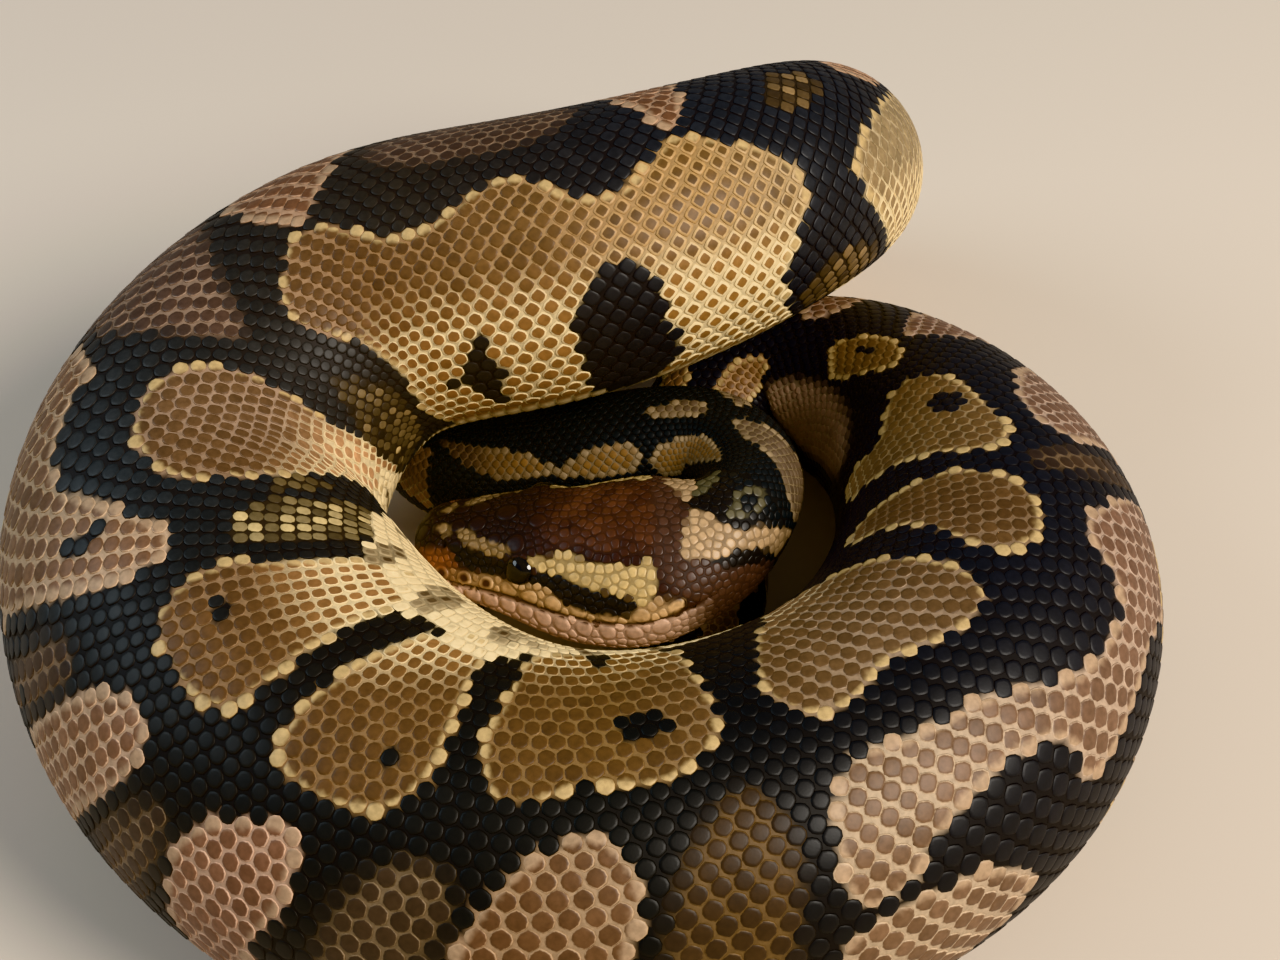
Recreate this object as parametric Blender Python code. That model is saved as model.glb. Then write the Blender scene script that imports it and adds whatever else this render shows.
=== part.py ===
"""A ball python lying coiled, life size: head and jaw, eyes, neck, trunk lengths and tail, all still.

Blender 4.5, metres, +Z up, standing on z = 0.  The body is one sweep along a smooth route from the snout
to the tail tip.  It is parted by thin cuts into named lengths, and the head is parted along the mouth.
"""
import math

import bpy
import numpy as np

MM = 0.001

# ---- driving dimensions, in millimetres ------------------------------------------------------------
HEAD_LENGTH = 56.0          # snout to the back of the jaws
CUT = 0.3                   # width of every cut between two neighbouring solids
SIDES = 24                  # corners of a body section
HEAD_SIDES = 32             # corners of a head section
BODY_STEP = 9.0             # distance between body sections
HEAD_STEP = 2.4             # distance between head sections
SNOUT_ROUNDING = 6.0        # length over which the snout closes
SNOUT_BLUNTNESS = 2.6       # 2 is an ellipse, more is blunter
TAIL_ROUNDING = 3.0         # length over which the tail tip closes
HEAD_ROLL = 4.0             # degrees that the head's left side is turned up
HEAD_ROLL_END = (52.0, 90.0)  # the twist fades along the neck, between these distances from the snout
NECK_START = 64.0           # behind this the sections are round
NECK_BLEND = 22.0           # and they turn from head to neck over this length ahead of it
EYE_RADIUS = 3.4
EYE_FROM_SNOUT = 23.0
EYE_HEIGHT = 4.2            # of the eye's place on the head's side, above the head's axis
EYE_SUNK = 2.5              # how far the eye's centre lies under that place, square to the surface
MOUTH_END = 52.0            # the corner of the mouth, from the snout
BLOCK_REACH = 30.0          # how far the block that cuts the mouth reaches past the head
SHIFT = (-0.7, -2.5)        # places the coil's box centre on the origin

# The route of the body's centre line, in order from the snout.  The head lies straight.
HEAD_ROUTE = [(-31.0, -9.8, 35.6), (-8.0, -12.8, 37.8), (11.0, -15.3, 39.7)]

# Then x, y, z and the body's radius there.
NECK_ROUTE = [               # a tight turn at the right, back behind the head and down to the floor
    (25.5, -11.4, 39.3, 11.6), (31.0, 2.0, 37.0, 10.8), (25.5, 14.0, 34.5, 11.3), (9.0, 17.5, 31.0, 11.8),
    (-9.0, 19.5, 23.5, 12.3), (-26.0, 28.0, 16.0, 13.0), (-34.0, 44.0, 13.0, 13.6),
]
BACK_ROUTE = [               # along the floor behind the coil, then up and over at the back right
    (-29.0, 65.0, 14.2, 14.8), (-10.0, 84.0, 16.5, 17.2), (13.0, 92.5, 19.8, 20.4), (36.0, 92.0, 29.0, 22.4),
    (46.8, 80.5, 47.0, 21.6), (41.0, 60.0, 63.0, 23.2),
]
RING_ROUTE = [               # the big outer turn: back, left, front and right, always lower
    (16.5, 41.5, 67.0, 26.2), (-13.0, 35.1, 62.5, 27.8), (-41.0, 32.5, 55.5, 28.6), (-61.5, 17.0, 46.0, 31.8),
    (-70.0, -9.4, 38.5, 34.4), (-61.0, -38.0, 35.3, 36.0), (-39.5, -62.0, 34.4, 35.4), (-7.8, -75.5, 33.3, 34.4),
    (29.4, -70.3, 32.2, 33.4), (59.8, -50.2, 31.7, 32.8), (74.6, -19.4, 30.0, 31.1), (74.0, 10.0, 26.0, 26.8),
    (63.0, 36.0, 21.0, 21.8),
]
TAIL_ROUTE = [               # under the bend and curled on the floor below the head
    (49.0, 48.0, 18.0, 18.8), (34.5, 50.0, 15.6, 16.2), (23.5, 40.0, 13.0, 13.6), (20.5, 24.5, 10.6, 11.1),
    (26.0, 6.0, 9.7, 10.2), (23.0, -12.0, 8.4, 8.9), (6.0, -24.0, 6.8, 7.3), (-14.0, -20.0, 5.1, 5.6),
    (-24.0, -6.0, 3.4, 3.9), (-20.0, 8.0, 2.1, 2.6),
]

# The head's outline: distance from the snout, half width, height above the axis and depth below it.
HEAD_OUTLINE = [
    (0.0, 8.4, 4.8, 4.6), (6.0, 9.6, 6.2, 5.6), (13.0, 11.0, 7.6, 6.6), (21.0, 12.7, 8.8, 7.8),
    (29.0, 14.8, 9.7, 9.0), (37.0, 16.6, 10.3, 9.9), (44.0, 17.2, 10.6, 10.6), (51.0, 15.4, 10.7, 11.0),
]
CHEEK_LEVEL = 0.24           # a head section is widest this share of its depth below the axis
CROWN_POWER = 1.9            # superellipse power above the cheeks: the sides slope in to the crown
JAW_POWER = 2.9              # and below them: the jaw is boxy

# In the front of the ring the edge of the belly is turned up to the inside, and makes a soft shoulder there.
SHOULDER = 0.09              # how far it stands out, as a share of the section's radius
SHOULDER_PLACE = (507.0, 52.0)       # its middle: distance from the snout, and degrees inward from the top
SHOULDER_REACH = (48.0, 27.0)
# The jaw is at its broadest well below the lips, where it rests: a swelling on both sides.
JOWL = 0.21                  # how far it stands out, as a share of the section's radius
JOWL_PLACE = (27.0, 126.0)   # its middle: distance from the snout, and degrees from the top
JOWL_REACH = (20.0, 31.0)

# The mouth's height above the head's axis, by distance from the snout.
MOUTH_LINE = [(0.0, -0.9), (6.0, -1.0), (13.0, -1.1), (22.0, -1.4), (33.0, -1.9), (42.0, -1.7), (48.0, -0.9),
              (54.0, 0.8)]

# Where the body is parted, by distance from the snout: each name begins where the one before it ends.
LENGTHS = [
    ("neck_front", 56), ("neck_turn", 86), ("neck_back", 120), ("trunk_01", 156), ("trunk_02", 200),
    ("trunk_03", 248), ("trunk_04", 304), ("trunk_05", 366), ("trunk_06", 424), ("trunk_07", 482),
    ("trunk_08", 540), ("trunk_09", 598), ("trunk_10", 656), ("trunk_11", 710), ("trunk_12", 752),
    ("trunk_13", 788), ("tail_base", 830), ("tail_tip", 870),
]

SKIN_BROWN = (0.115, 0.062, 0.028)
SKIN_GOLD = (0.42, 0.25, 0.10)
HEAD_BROWN = (0.085, 0.036, 0.018)
JAW_CREAM = (0.62, 0.45, 0.33)
EYE_BLACK = (0.006, 0.006, 0.007)


# ---- curves ----------------------------------------------------------------------------------------
def spline(knots, values, at):
    """The natural cubic spline through values at knots, read at the places `at`."""
    knots = np.asarray(knots, float)
    values = np.asarray(values, float).reshape(len(knots), -1)
    gaps = np.diff(knots)
    system = np.eye(len(knots))
    bends = np.zeros_like(values)
    for i in range(1, len(knots) - 1):
        system[i, i - 1:i + 2] = gaps[i - 1], 2 * (gaps[i - 1] + gaps[i]), gaps[i]
        bends[i] = 6 * ((values[i + 1] - values[i]) / gaps[i] - (values[i] - values[i - 1]) / gaps[i - 1])
    second = np.linalg.solve(system, bends)
    at = np.atleast_1d(np.asarray(at, float))
    k = np.clip(np.searchsorted(knots, at) - 1, 0, len(knots) - 2)
    h = gaps[k][:, None]
    b = (at[:, None] - knots[k][:, None]) / h
    a = 1 - b
    cubic = (a ** 3 - a) * second[k] + (b ** 3 - b) * second[k + 1]
    return a * values[k] + b * values[k + 1] + cubic * h ** 2 / 6


class Body:
    """The sweep: centre line, frame and section size at any distance from the snout."""

    def __init__(self):
        swept = NECK_ROUTE + BACK_ROUTE + RING_ROUTE + TAIL_ROUTE
        points = np.array(HEAD_ROUTE + [row[:3] for row in swept])
        points[:, :2] += SHIFT
        self.points = points
        self.chord = np.concatenate([[0], np.cumsum(np.linalg.norm(np.diff(points, axis=0), axis=1))])
        self.fine = np.linspace(0, self.chord[-1], 6000)
        line = spline(self.chord, points, self.fine)
        self.distance = np.concatenate([[0], np.cumsum(np.linalg.norm(np.diff(line, axis=0), axis=1))])
        self.length = self.distance[-1]
        knots = np.interp(self.chord[len(HEAD_ROUTE):], self.fine, self.distance)
        head = [row for row in HEAD_OUTLINE if row[0] < knots[0]]
        self.size_knots = [row[0] for row in head] + list(knots)
        self.sizes = [row[1:] for row in head] + [(row[3],) * 3 for row in swept]

    def centre(self, s):
        return spline(self.chord, self.points, np.interp(s, self.distance, self.fine))

    def frame(self, s):
        """Centre, the way to the tail, the animal's right and up, for each distance in s."""
        inside = np.clip(s, 0.05, self.length - 0.05)
        ahead = self.centre(inside + 0.05)
        behind = self.centre(inside - 0.05)
        along = (ahead - behind) / np.linalg.norm(ahead - behind, axis=1)[:, None]
        right = np.cross((0, 0, 1), along)
        right /= np.linalg.norm(right, axis=1)[:, None]
        up = np.cross(along, right)
        start, end = HEAD_ROLL_END
        fade = np.clip((end - s) / (end - start), 0, 1)[:, None]
        roll = math.radians(HEAD_ROLL) * fade * fade * (3 - 2 * fade)
        turned = right * np.cos(roll) - up * np.sin(roll)
        return self.centre(s), along, turned, up * np.cos(roll) + right * np.sin(roll)

    def size(self, s):
        """Half width, height and depth of the section, closing at the snout and the tail tip."""
        size = spline(self.size_knots, self.sizes, s)
        snout = np.clip(1 - s / SNOUT_ROUNDING, 0, 1) ** SNOUT_BLUNTNESS
        tip = np.clip(1 - (self.length - s) / TAIL_ROUNDING, 0, 1) ** 2
        closing = (1 - snout) ** (1 / SNOUT_BLUNTNESS) * (1 - tip) ** 0.5
        return size * closing[:, None]

    def sections(self, s, sides):
        """One ring of points for each distance in s, round by the right side, with an edge at the belly."""
        centre, _, right, up = self.frame(s)
        width, height, depth = self.size(s).T[:, :, None]
        turn = 2 * math.pi * (np.arange(sides) + 0.5) / sides
        fade = np.clip((NECK_START - s) / NECK_BLEND, 0, 1)[:, None]
        level = -CHEEK_LEVEL * depth * fade
        above = np.cos(turn) > 0
        power = 2 / (2 + (np.where(above, CROWN_POWER, JAW_POWER) - 2) * fade)
        across = np.sign(np.sin(turn)) * np.abs(np.sin(turn)) ** power * width
        rise = np.abs(np.cos(turn)) ** power
        rise = level + np.where(above, rise * (height - level), -rise * (depth + level))
        along = (s - SHOULDER_PLACE[0]) / SHOULDER_REACH[0]
        round_it = (np.degrees(turn) - SHOULDER_PLACE[1]) / SHOULDER_REACH[1]
        swell = 1 + SHOULDER * np.exp(-along[:, None] ** 2 - round_it ** 2)
        along = (s - JOWL_PLACE[0]) / JOWL_REACH[0]
        round_it = (180 - np.abs(np.degrees(turn) - 180) - JOWL_PLACE[1]) / JOWL_REACH[1]
        swell = swell + JOWL * np.exp(-along[:, None] ** 2 - round_it ** 2)
        across, rise = across * swell, rise * swell
        rings = centre[:, None] + across[..., None] * right[:, None] + rise[..., None] * up[:, None]
        rings[..., 2] = np.maximum(rings[..., 2], 0)       # the belly lies flat on the floor
        return rings


# ---- making objects --------------------------------------------------------------------------------
def clear_scene():
    for old in list(bpy.data.objects):
        bpy.data.objects.remove(old, do_unlink=True)


def material(name, colour, roughness):
    made = bpy.data.materials.new(name)
    made.use_nodes = True
    shader = made.node_tree.nodes["Principled BSDF"]
    shader.inputs["Base Color"].default_value = (*colour, 1)
    shader.inputs["Roughness"].default_value = roughness
    shader.inputs["Metallic"].default_value = 0.0
    return made


def solid(name, points, faces, colour, roughness=0.4):
    """An object from points in millimetres."""
    mesh = bpy.data.meshes.new(name)
    mesh.from_pydata([tuple(p) for p in np.asarray(points) * MM], [], faces)
    mesh.update()
    made = bpy.data.objects.new(name, mesh)
    bpy.context.scene.collection.objects.link(made)
    mesh.materials.append(material(name, colour, roughness))
    mesh.shade_smooth()
    mesh.set_sharp_from_angle(angle=math.radians(40))
    return made


def loft_faces(rings, sides):
    """Quads between neighbouring rings of points, and a flat cap at each end, all facing out."""
    faces = []
    for i in range(rings - 1):
        for j in range(sides):
            k = (j + 1) % sides
            faces.append((i * sides + j, (i + 1) * sides + j, (i + 1) * sides + k, i * sides + k))
    last = (rings - 1) * sides
    return faces + [tuple(range(sides)), tuple(last + j for j in reversed(range(sides)))]


def loft(name, rings, colour):
    sides = rings.shape[1]
    return solid(name, rings.reshape(-1, 3), loft_faces(len(rings), sides), colour)


def stations(start, end, step):
    return np.linspace(start, end, max(3, int(math.ceil((end - start) / step)) + 1))


def body_length(body, name, start, end, colour):
    """One length of the body, drawn back by half a cut at each end."""
    return loft(name, body.sections(stations(start + CUT / 2, end - CUT / 2, BODY_STEP), SIDES), colour)


def boolean(target, tool, operation):
    """Join or cut target by tool, apply it and drop the tool."""
    change = target.modifiers.new(operation, "BOOLEAN")
    change.operation = operation
    change.solver = "EXACT"
    change.object = tool
    evaluated = target.evaluated_get(bpy.context.evaluated_depsgraph_get())
    shaped = bpy.data.meshes.new_from_object(evaluated)
    target.modifiers.clear()
    target.data = shaped
    bpy.data.objects.remove(tool, do_unlink=True)


# ---- the head --------------------------------------------------------------------------------------
def below_mouth(body, name, gap, end):
    """The block under the mouth line, lowered by gap, from ahead of the snout back to `end`."""
    s = np.linspace(0, end, 24)
    drop = spline([row[0] for row in MOUTH_LINE], [row[1] for row in MOUTH_LINE], s) - gap
    snout, along, right, up = (row[0] for row in body.frame(np.array([0.0])))
    centre = snout + s[:, None] * along
    centre[0] -= BLOCK_REACH * along
    lip = centre + drop * up
    floor = centre - BLOCK_REACH * up
    side = BLOCK_REACH * right
    rings = np.stack([lip - side, lip + side, floor + side, floor - side], axis=1)
    return loft(name, rings, JAW_CREAM)


def eye_centres(body):
    """The centres of the left and right eyes, each sunk square to the head's side."""
    centre, _, right, up = (row[0] for row in body.frame(np.array([EYE_FROM_SNOUT])))
    width, height, depth = body.size(np.array([EYE_FROM_SNOUT]))[0]
    level = -CHEEK_LEVEL * depth
    rise = (EYE_HEIGHT - level) / (height - level)
    reach = (1 - rise ** CROWN_POWER) ** (1 / CROWN_POWER)
    square = np.array([reach ** (CROWN_POWER - 1) / width, rise ** (CROWN_POWER - 1) / (height - level)])
    across, lift = np.array([reach * width, EYE_HEIGHT]) - EYE_SUNK * square / np.linalg.norm(square)
    return {"eye_left": centre + lift * up - across * right, "eye_right": centre + lift * up + across * right}


def ball(name, centre, radius, rows, sides, colour):
    """A ball of quads with a fan at each pole."""
    polar = math.pi * np.arange(1, rows) / rows
    turn = 2 * math.pi * np.arange(sides) / sides
    points = [centre + (0, 0, radius)]
    for angle in polar:
        out = radius * math.sin(angle)
        points += [centre + (out * math.cos(t), out * math.sin(t), radius * math.cos(angle)) for t in turn]
    points.append(centre - (0, 0, radius))
    faces = []
    for j in range(sides):
        k = (j + 1) % sides
        faces.append((0, 1 + j, 1 + k))
        for i in range(rows - 2):
            faces.append((1 + i * sides + j, 1 + (i + 1) * sides + j, 1 + (i + 1) * sides + k, 1 + i * sides + k))
        base = 1 + (rows - 2) * sides
        faces.append((len(points) - 1, base + k, base + j))
    return solid(name, points, faces, colour, 0.06)


def whole_head(body, name, colour):
    s = np.concatenate([[0.02, 0.3, 0.9, 1.8, 3.0, 4.5], stations(6.0, HEAD_LENGTH - CUT / 2, HEAD_STEP)])
    return loft(name, body.sections(s, HEAD_SIDES), colour)


def make_head(body):
    """The upper head with eye sockets, the lower jaw and the two eyes."""
    head = whole_head(body, "head", HEAD_BROWN)
    boolean(head, below_mouth(body, "mouth_cut", -CUT / 2, MOUTH_END + CUT / 2), "DIFFERENCE")
    for name, centre in eye_centres(body).items():
        boolean(head, ball("socket_cut", centre, EYE_RADIUS + CUT, 10, 16, HEAD_BROWN), "DIFFERENCE")
        ball(name, centre, EYE_RADIUS, 10, 16, EYE_BLACK)
    jaw = whole_head(body, "lower_jaw", JAW_CREAM)
    boolean(jaw, below_mouth(body, "mouth_keep", CUT / 2, MOUTH_END - CUT / 2), "INTERSECT")


# ---- the whole animal ------------------------------------------------------------------------------
def main():
    clear_scene()
    body = Body()
    make_head(body)
    ends = [start for _, start in LENGTHS[1:]] + [body.length + CUT / 2 - 0.03]
    for i, ((name, start), end) in enumerate(zip(LENGTHS, ends)):
        body_length(body, name, start, end, SKIN_GOLD if i % 2 else SKIN_BROWN)


main()
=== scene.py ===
"""Looks of the coiled ball python: one skin, solid scales and belly plates on it, the eyes, and the studio.

The skin follows the same sweep as the frame's solids, a little inside them.  Lengths are millimetres and
angles are degrees until a mesh is made.  A place on the body is (s, q): s is the distance from the snout
and q the angle from the ridge of the back, positive round the animal's right side.
"""
import math

import bpy
import numpy as np
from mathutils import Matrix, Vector
from mathutils.bvhtree import BVHTree


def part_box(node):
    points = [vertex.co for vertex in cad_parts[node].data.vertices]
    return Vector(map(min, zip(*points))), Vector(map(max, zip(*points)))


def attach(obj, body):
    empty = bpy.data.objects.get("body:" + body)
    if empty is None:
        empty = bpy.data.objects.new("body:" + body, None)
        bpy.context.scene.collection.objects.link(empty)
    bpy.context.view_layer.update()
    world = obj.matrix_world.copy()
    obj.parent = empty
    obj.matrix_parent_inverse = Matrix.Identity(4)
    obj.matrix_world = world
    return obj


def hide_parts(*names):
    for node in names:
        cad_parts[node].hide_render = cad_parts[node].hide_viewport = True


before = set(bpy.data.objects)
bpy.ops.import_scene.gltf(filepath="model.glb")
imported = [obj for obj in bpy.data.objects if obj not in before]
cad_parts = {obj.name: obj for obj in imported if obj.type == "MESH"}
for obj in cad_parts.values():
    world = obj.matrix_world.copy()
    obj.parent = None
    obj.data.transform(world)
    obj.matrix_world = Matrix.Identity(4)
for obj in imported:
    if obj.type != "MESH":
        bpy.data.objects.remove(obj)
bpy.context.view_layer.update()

MM = 0.001

# ---- the body's sweep, as the solids have it --------------------------------------------------------
SNOUT_ROUNDING = 6.0
SNOUT_BLUNTNESS = 2.6
TAIL_ROUNDING = 3.0
HEAD_ROLL = 4.0
HEAD_ROLL_END = (52.0, 90.0)
NECK_START = 64.0
NECK_BLEND = 22.0
SHIFT = (-0.7, -2.5)
HEAD_ROUTE = [(-31, -9.8, 35.6), (-8, -12.8, 37.8), (11, -15.3, 39.7)]
SWEPT_ROUTE = [(25.5, -11.4, 39.3, 11.6), (31, 2, 37, 10.8), (25.5, 14, 34.5, 11.3), (9, 17.5, 31, 11.8),
               (-9, 19.5, 23.5, 12.3), (-26, 28, 16, 13), (-34, 44, 13, 13.6), (-29, 65, 14.2, 14.8),
               (-10, 84, 16.5, 17.2), (13, 92.5, 19.8, 20.4), (36, 92, 29, 22.4), (46.8, 80.5, 47, 21.6),
               (41, 60, 63, 23.2), (16.5, 41.5, 67, 26.2), (-13, 35.1, 62.5, 27.8), (-41, 32.5, 55.5, 28.6),
               (-61.5, 17, 46, 31.8), (-70, -9.4, 38.5, 34.4), (-61, -38, 35.3, 36),
               (-39.5, -62, 34.4, 35.4), (-7.8, -75.5, 33.3, 34.4), (29.4, -70.3, 32.2, 33.4),
               (59.8, -50.2, 31.7, 32.8), (74.6, -19.4, 30, 31.1), (74, 10, 26, 26.8), (63, 36, 21, 21.8),
               (49, 48, 18, 18.8), (34.5, 50, 15.6, 16.2), (23.5, 40, 13, 13.6), (20.5, 24.5, 10.6, 11.1),
               (26, 6, 9.7, 10.2), (23, -12, 8.4, 8.9), (6, -24, 6.8, 7.3), (-14, -20, 5.1, 5.6),
               (-24, -6, 3.4, 3.9), (-20, 8, 2.1, 2.6)]
HEAD_OUTLINE = [(0, 8.4, 4.8, 4.6), (6, 9.6, 6.2, 5.6), (13, 11, 7.6, 6.6), (21, 12.7, 8.8, 7.8),
                (29, 14.8, 9.7, 9), (37, 16.6, 10.3, 9.9), (44, 17.2, 10.6, 10.6), (51, 15.4, 10.7, 11)]
CHEEK_LEVEL = 0.24
CROWN_POWER = 1.9
JAW_POWER = 2.9
# Two swellings, beside the snout and below the lips: how high, where (s, angle from straight up), how far.
SHOULDER = 0.09
SHOULDER_PLACE = (507.0, 52.0)
SHOULDER_REACH = (48.0, 27.0)
JOWL = 0.21
JOWL_PLACE = (27.0, 126.0)
JOWL_REACH = (20.0, 31.0)
MOUTH_LINE = [(0, -0.9), (6, -1), (13, -1.1), (22, -1.4), (33, -1.9), (42, -1.7), (48, -0.9), (54, 0.8)]
MOUTH_END = 52.0
# How far the ridge of the back leans out of the coil, in degrees, by distance from the snout.
LEAN = [(0, 0), (237, 0), (263, 10), (287, 20), (314, 30), (346, 40), (377, 42), (406, 38), (434, 32),
        (463, 38), (493, 60), (526, 80), (561, 82), (599, 72), (635, 52), (670, 38), (700, 32), (729, 25),
        (748, 10), (763, 0), (908, 0)]
LEAN_AVERAGED = 61           # stored places that each pass of its smoothing runs over

# ---- skin and scales --------------------------------------------------------------------------------
SKIN_DEPTH = 0.55            # the skin lies this far inside the solids
SKIN_SIDES = 144
SKIN_STEP = 1.55
HEAD_SKIN_STEP = 0.45
HEAD_END = 61.0              # head scales reach this far back, body scales begin behind it
FLOOR_GAP = 0.15             # of the skin where the belly lies on the floor
SCALE_FLOOR_GAP = 0.02       # and of the scales there
THINNEST = 0.03              # no section is narrower, at the snout and the tail's tip
# Length of a scale's cell along the body, by distance from the snout.
PITCHES = [(0, 1.3), (62, 1.6), (140, 2), (240, 2.5), (312, 2.6), (345, 2.9), (370, 2.8), (389, 2.95),
           (410, 3.25), (445, 3.55), (472, 3.4), (486, 2.9), (500, 2.4), (545, 2.4), (560, 2.75),
           (575, 2.9), (617, 3.3), (640, 3.3), (652, 2.8), (663, 2.45), (678, 2.65), (700, 2.9), (745, 2.5),
           (820, 1.7), (908, 0.9)]
SCALE_EDGE = 133.0           # scale rows end here, belly plates begin
EXTRA_EDGE = 24.0            # and this much further round on the inner side of the raised coil
RAISED = (296, 14, 436, 16)  # the raised coil as a window: start, rise, end, fall
EXTRA_ROWS = 4               # of scales there
# Place of a row as a polynomial of its share of the way round: rows lie closest on the flanks.
ROW_SPREAD = (1.218, -0.553, 0.335)
SCALE_SIDES = 12
SCALE_POWER = 8              # how sharp a scale's corners are: it fills the cell between its six neighbours
SCALE_FILL = 0.97            # share of its cell that a scale takes
SCALE_THICKNESS = 0.05       # height of a scale, as a share of its length
SCALE_TILT = 0.035           # slope of a scale up to its free edge
PATCH_SIZE = 0.0015          # of a head scale or belly plate on the map, for each mm or half width of it
PLACE_NOISE = 0.025          # how far a scale strays, as a share of its cell
SHADES = (0.86, 1.12)        # scales are this much darker or paler than their marking
THINNED = 0.4                # where a bend crowds the scales to this share, every other one is left out
# Rings of points round the middle of a scale: share of its reach, share of its height.
BIG_RINGS = [(0.62, 0.95), (0.90, 0.66), (1.0, -0.35)]
SMALL_RINGS = [(0.76, 0.82), (1.0, -0.35)]
# Section of a belly plate from front to back: place in its cell, share of its height, share of pale rim.
BELLY_PROFILE = [(-0.62, -0.9, 1.0), (-0.3, 0.3, 0.4), (0.1, 0.75, 0.0), (0.42, 1.0, 0.7), (0.52, -0.2, 1.0)]
BELLY_POINTS = 17            # across a plate
BELLY_THICKNESS = 0.07       # of a plate, as a share of its length
BELLY_CURVE = 0.28           # how far the ends of a plate lie forward of its middle, as a share of its length
# Stretches of body: name, start, end, rows on either side of the ridge.
STRETCHES = [("neck", 62, 140, 21), ("back_floor", 140, 262, 24), ("bend", 262, 345, 27),
             ("coil_back", 345, 425, 27), ("coil_left", 425, 500, 27), ("coil_front", 500, 575, 27),
             ("coil_right", 575, 650, 27), ("coil_rear", 650, 745, 27), ("tail_base", 745, 820, 20),
             ("tail_tip", 820, 905, 14)]

# ---- markings: outlines of (s, q) on the unrolled body ----------------------------------------------
LEFT_OFFSET = 9              # the left flank repeats the right flank's markings this much further back
RIM_START = 262              # blotches have pale rims from here on
# Pale blotches of the right flank.
FLANK_BLOTCHES = [
    [(290, 58), (303, 57), (313, 60), (319, 68), (324, 82), (322, 100), (316, 125), (306, 150), (290, 150)],
    [(345, 50), (337, 60), (332, 72), (331, 90), (336, 110), (337, 128), (334, 150), (330, 170), (394, 170),
     (396, 150), (400, 140), (397, 132), (401, 127), (398, 121), (403, 108), (408, 95), (415, 84),
     (420, 75), (421, 63), (416, 54), (410, 46), (404, 50), (400, 59), (395, 67), (390, 71), (384, 68),
     (378, 58), (372, 54), (367, 58), (364, 66), (359, 70), (355, 67), (351, 58), (348, 50)],
    [(458, 28), (450, 33), (445, 42), (441, 55), (440, 70), (440, 85), (436, 96), (431, 112), (424, 128),
     (419, 142), (431, 142), (440, 126), (450, 117), (460, 111), (470, 105), (478, 94), (480, 80),
     (480, 62), (478, 50), (472, 38), (465, 31)],
    [(501, 45), (506, 42), (513, 44), (519, 48), (522, 55), (523, 65), (524, 80), (525, 92), (527, 105),
     (527, 112), (522, 118), (516, 116), (512, 102), (508, 90), (504, 78), (500, 68), (499, 55)],
    [(529, 52), (535, 48), (543, 50), (548, 56), (550, 66), (550, 80), (549, 95), (549, 112), (542, 113),
     (537, 107), (533, 95), (530, 80), (528, 65)],
    [(556, 66), (559, 61), (564, 62), (570, 67), (575, 64), (580, 62), (587, 66), (591, 72), (592, 80),
     (591, 95), (591, 118), (578, 122), (560, 118), (556, 108), (556, 95), (554, 80)],
    [(600, 75), (603, 66), (608, 60), (614, 58), (620, 60), (624, 57), (630, 50), (636, 45), (641, 42),
     (645, 47), (646, 58), (645, 72), (643, 85), (639, 95), (634, 105), (628, 114), (620, 118), (614, 112),
     (609, 104), (604, 95), (601, 86)],
    [(656, 33), (660, 30), (666, 31), (670, 38), (672, 50), (672, 65), (669, 78), (666, 90), (660, 98),
     (652, 98), (655, 82), (655, 70), (652, 58), (651, 45)],
    [(678, 40), (682, 33), (688, 32), (694, 35), (700, 35), (706, 38), (710, 45), (711, 55), (708, 65),
     (702, 73), (696, 79), (696, 90), (697, 104), (684, 104), (682, 90), (681, 76), (679, 62), (677, 50)],
    [(718, 42), (722, 34), (728, 29), (735, 32), (740, 38), (738, 50), (734, 62), (729, 65), (724, 60),
     (718, 50)],
    [(756, 37), (762, 22), (770, 10), (778, 12), (781, 28), (775, 45), (765, 45)],
]
# Pale patches across the back.
BACK_BLOTCHES = [
    [(298, 20), (300, 50), (305, 53), (310, 42), (312, 30), (309, 20), (303, 12)],
    [(336, -30), (338, 0), (340, 20), (343, 40), (345, 48), (348, 42), (349, 26), (353, 10), (352, -30)],
    [(397, -35), (400, 15), (403, 33), (406, 47), (410, 40), (415, 26), (417, 10), (415, -35)],
    [(444, -25), (446, -5), (450, 8), (457, 3), (464, 3), (470, 10), (475, 22), (480, 35), (485, 45),
     (490, 52), (494, 47), (492, 33), (488, 18), (485, 5), (482, -8), (480, -25), (470, -38), (452, -38)],
    [(493, -40), (494, -15), (497, 0), (500, 12), (504, 24), (509, 32), (513, 30), (514, 20), (512, 8),
     (509, -4), (506, -16), (503, -40)],
    [(523, -30), (522, -5), (522, 10), (523, 21), (527, 31), (532, 38), (536, 40), (538, 32), (538, 20),
     (536, 8), (534, -5), (531, -30)],
    [(558, -35), (556, -10), (556, 20), (558, 35), (562, 47), (567, 54), (572, 54), (575, 48), (577, 40),
     (576, 30), (573, 5), (571, -35)],
    [(587, -45), (590, -20), (597, -2), (604, 6), (611, 3), (617, -3), (622, -10), (626, -20), (626, -30),
     (622, -42), (610, -50)],
    [(601, 14), (604, 8), (609, 7), (612, 11), (617, 16), (624, 16), (630, 12), (634, 6), (636, -3),
     (635, -11), (638, -18), (646, -19), (655, -18), (662, -28), (670, -40), (678, -38), (680, -20),
     (677, -8), (673, 2), (670, 9), (666, 15), (662, 13), (660, 4), (656, -2), (651, 2), (646, 5),
     (641, 12), (636, 22), (630, 31), (622, 37), (615, 42), (609, 48), (605, 46), (602, 36), (601, 24)],
    [(690, -38), (688, -15), (686, -2), (684, 9), (686, 18), (691, 22), (697, 19), (702, 11), (707, 2),
     (710, -10), (708, -38)],
    [(719, -25), (719, 0), (720, 12), (723, 22), (727, 25), (730, 15), (732, 4), (733, -25)],
    [(742, -25), (743, 0), (745, 10), (748, 14), (751, 10), (752, -25)],
]
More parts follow.
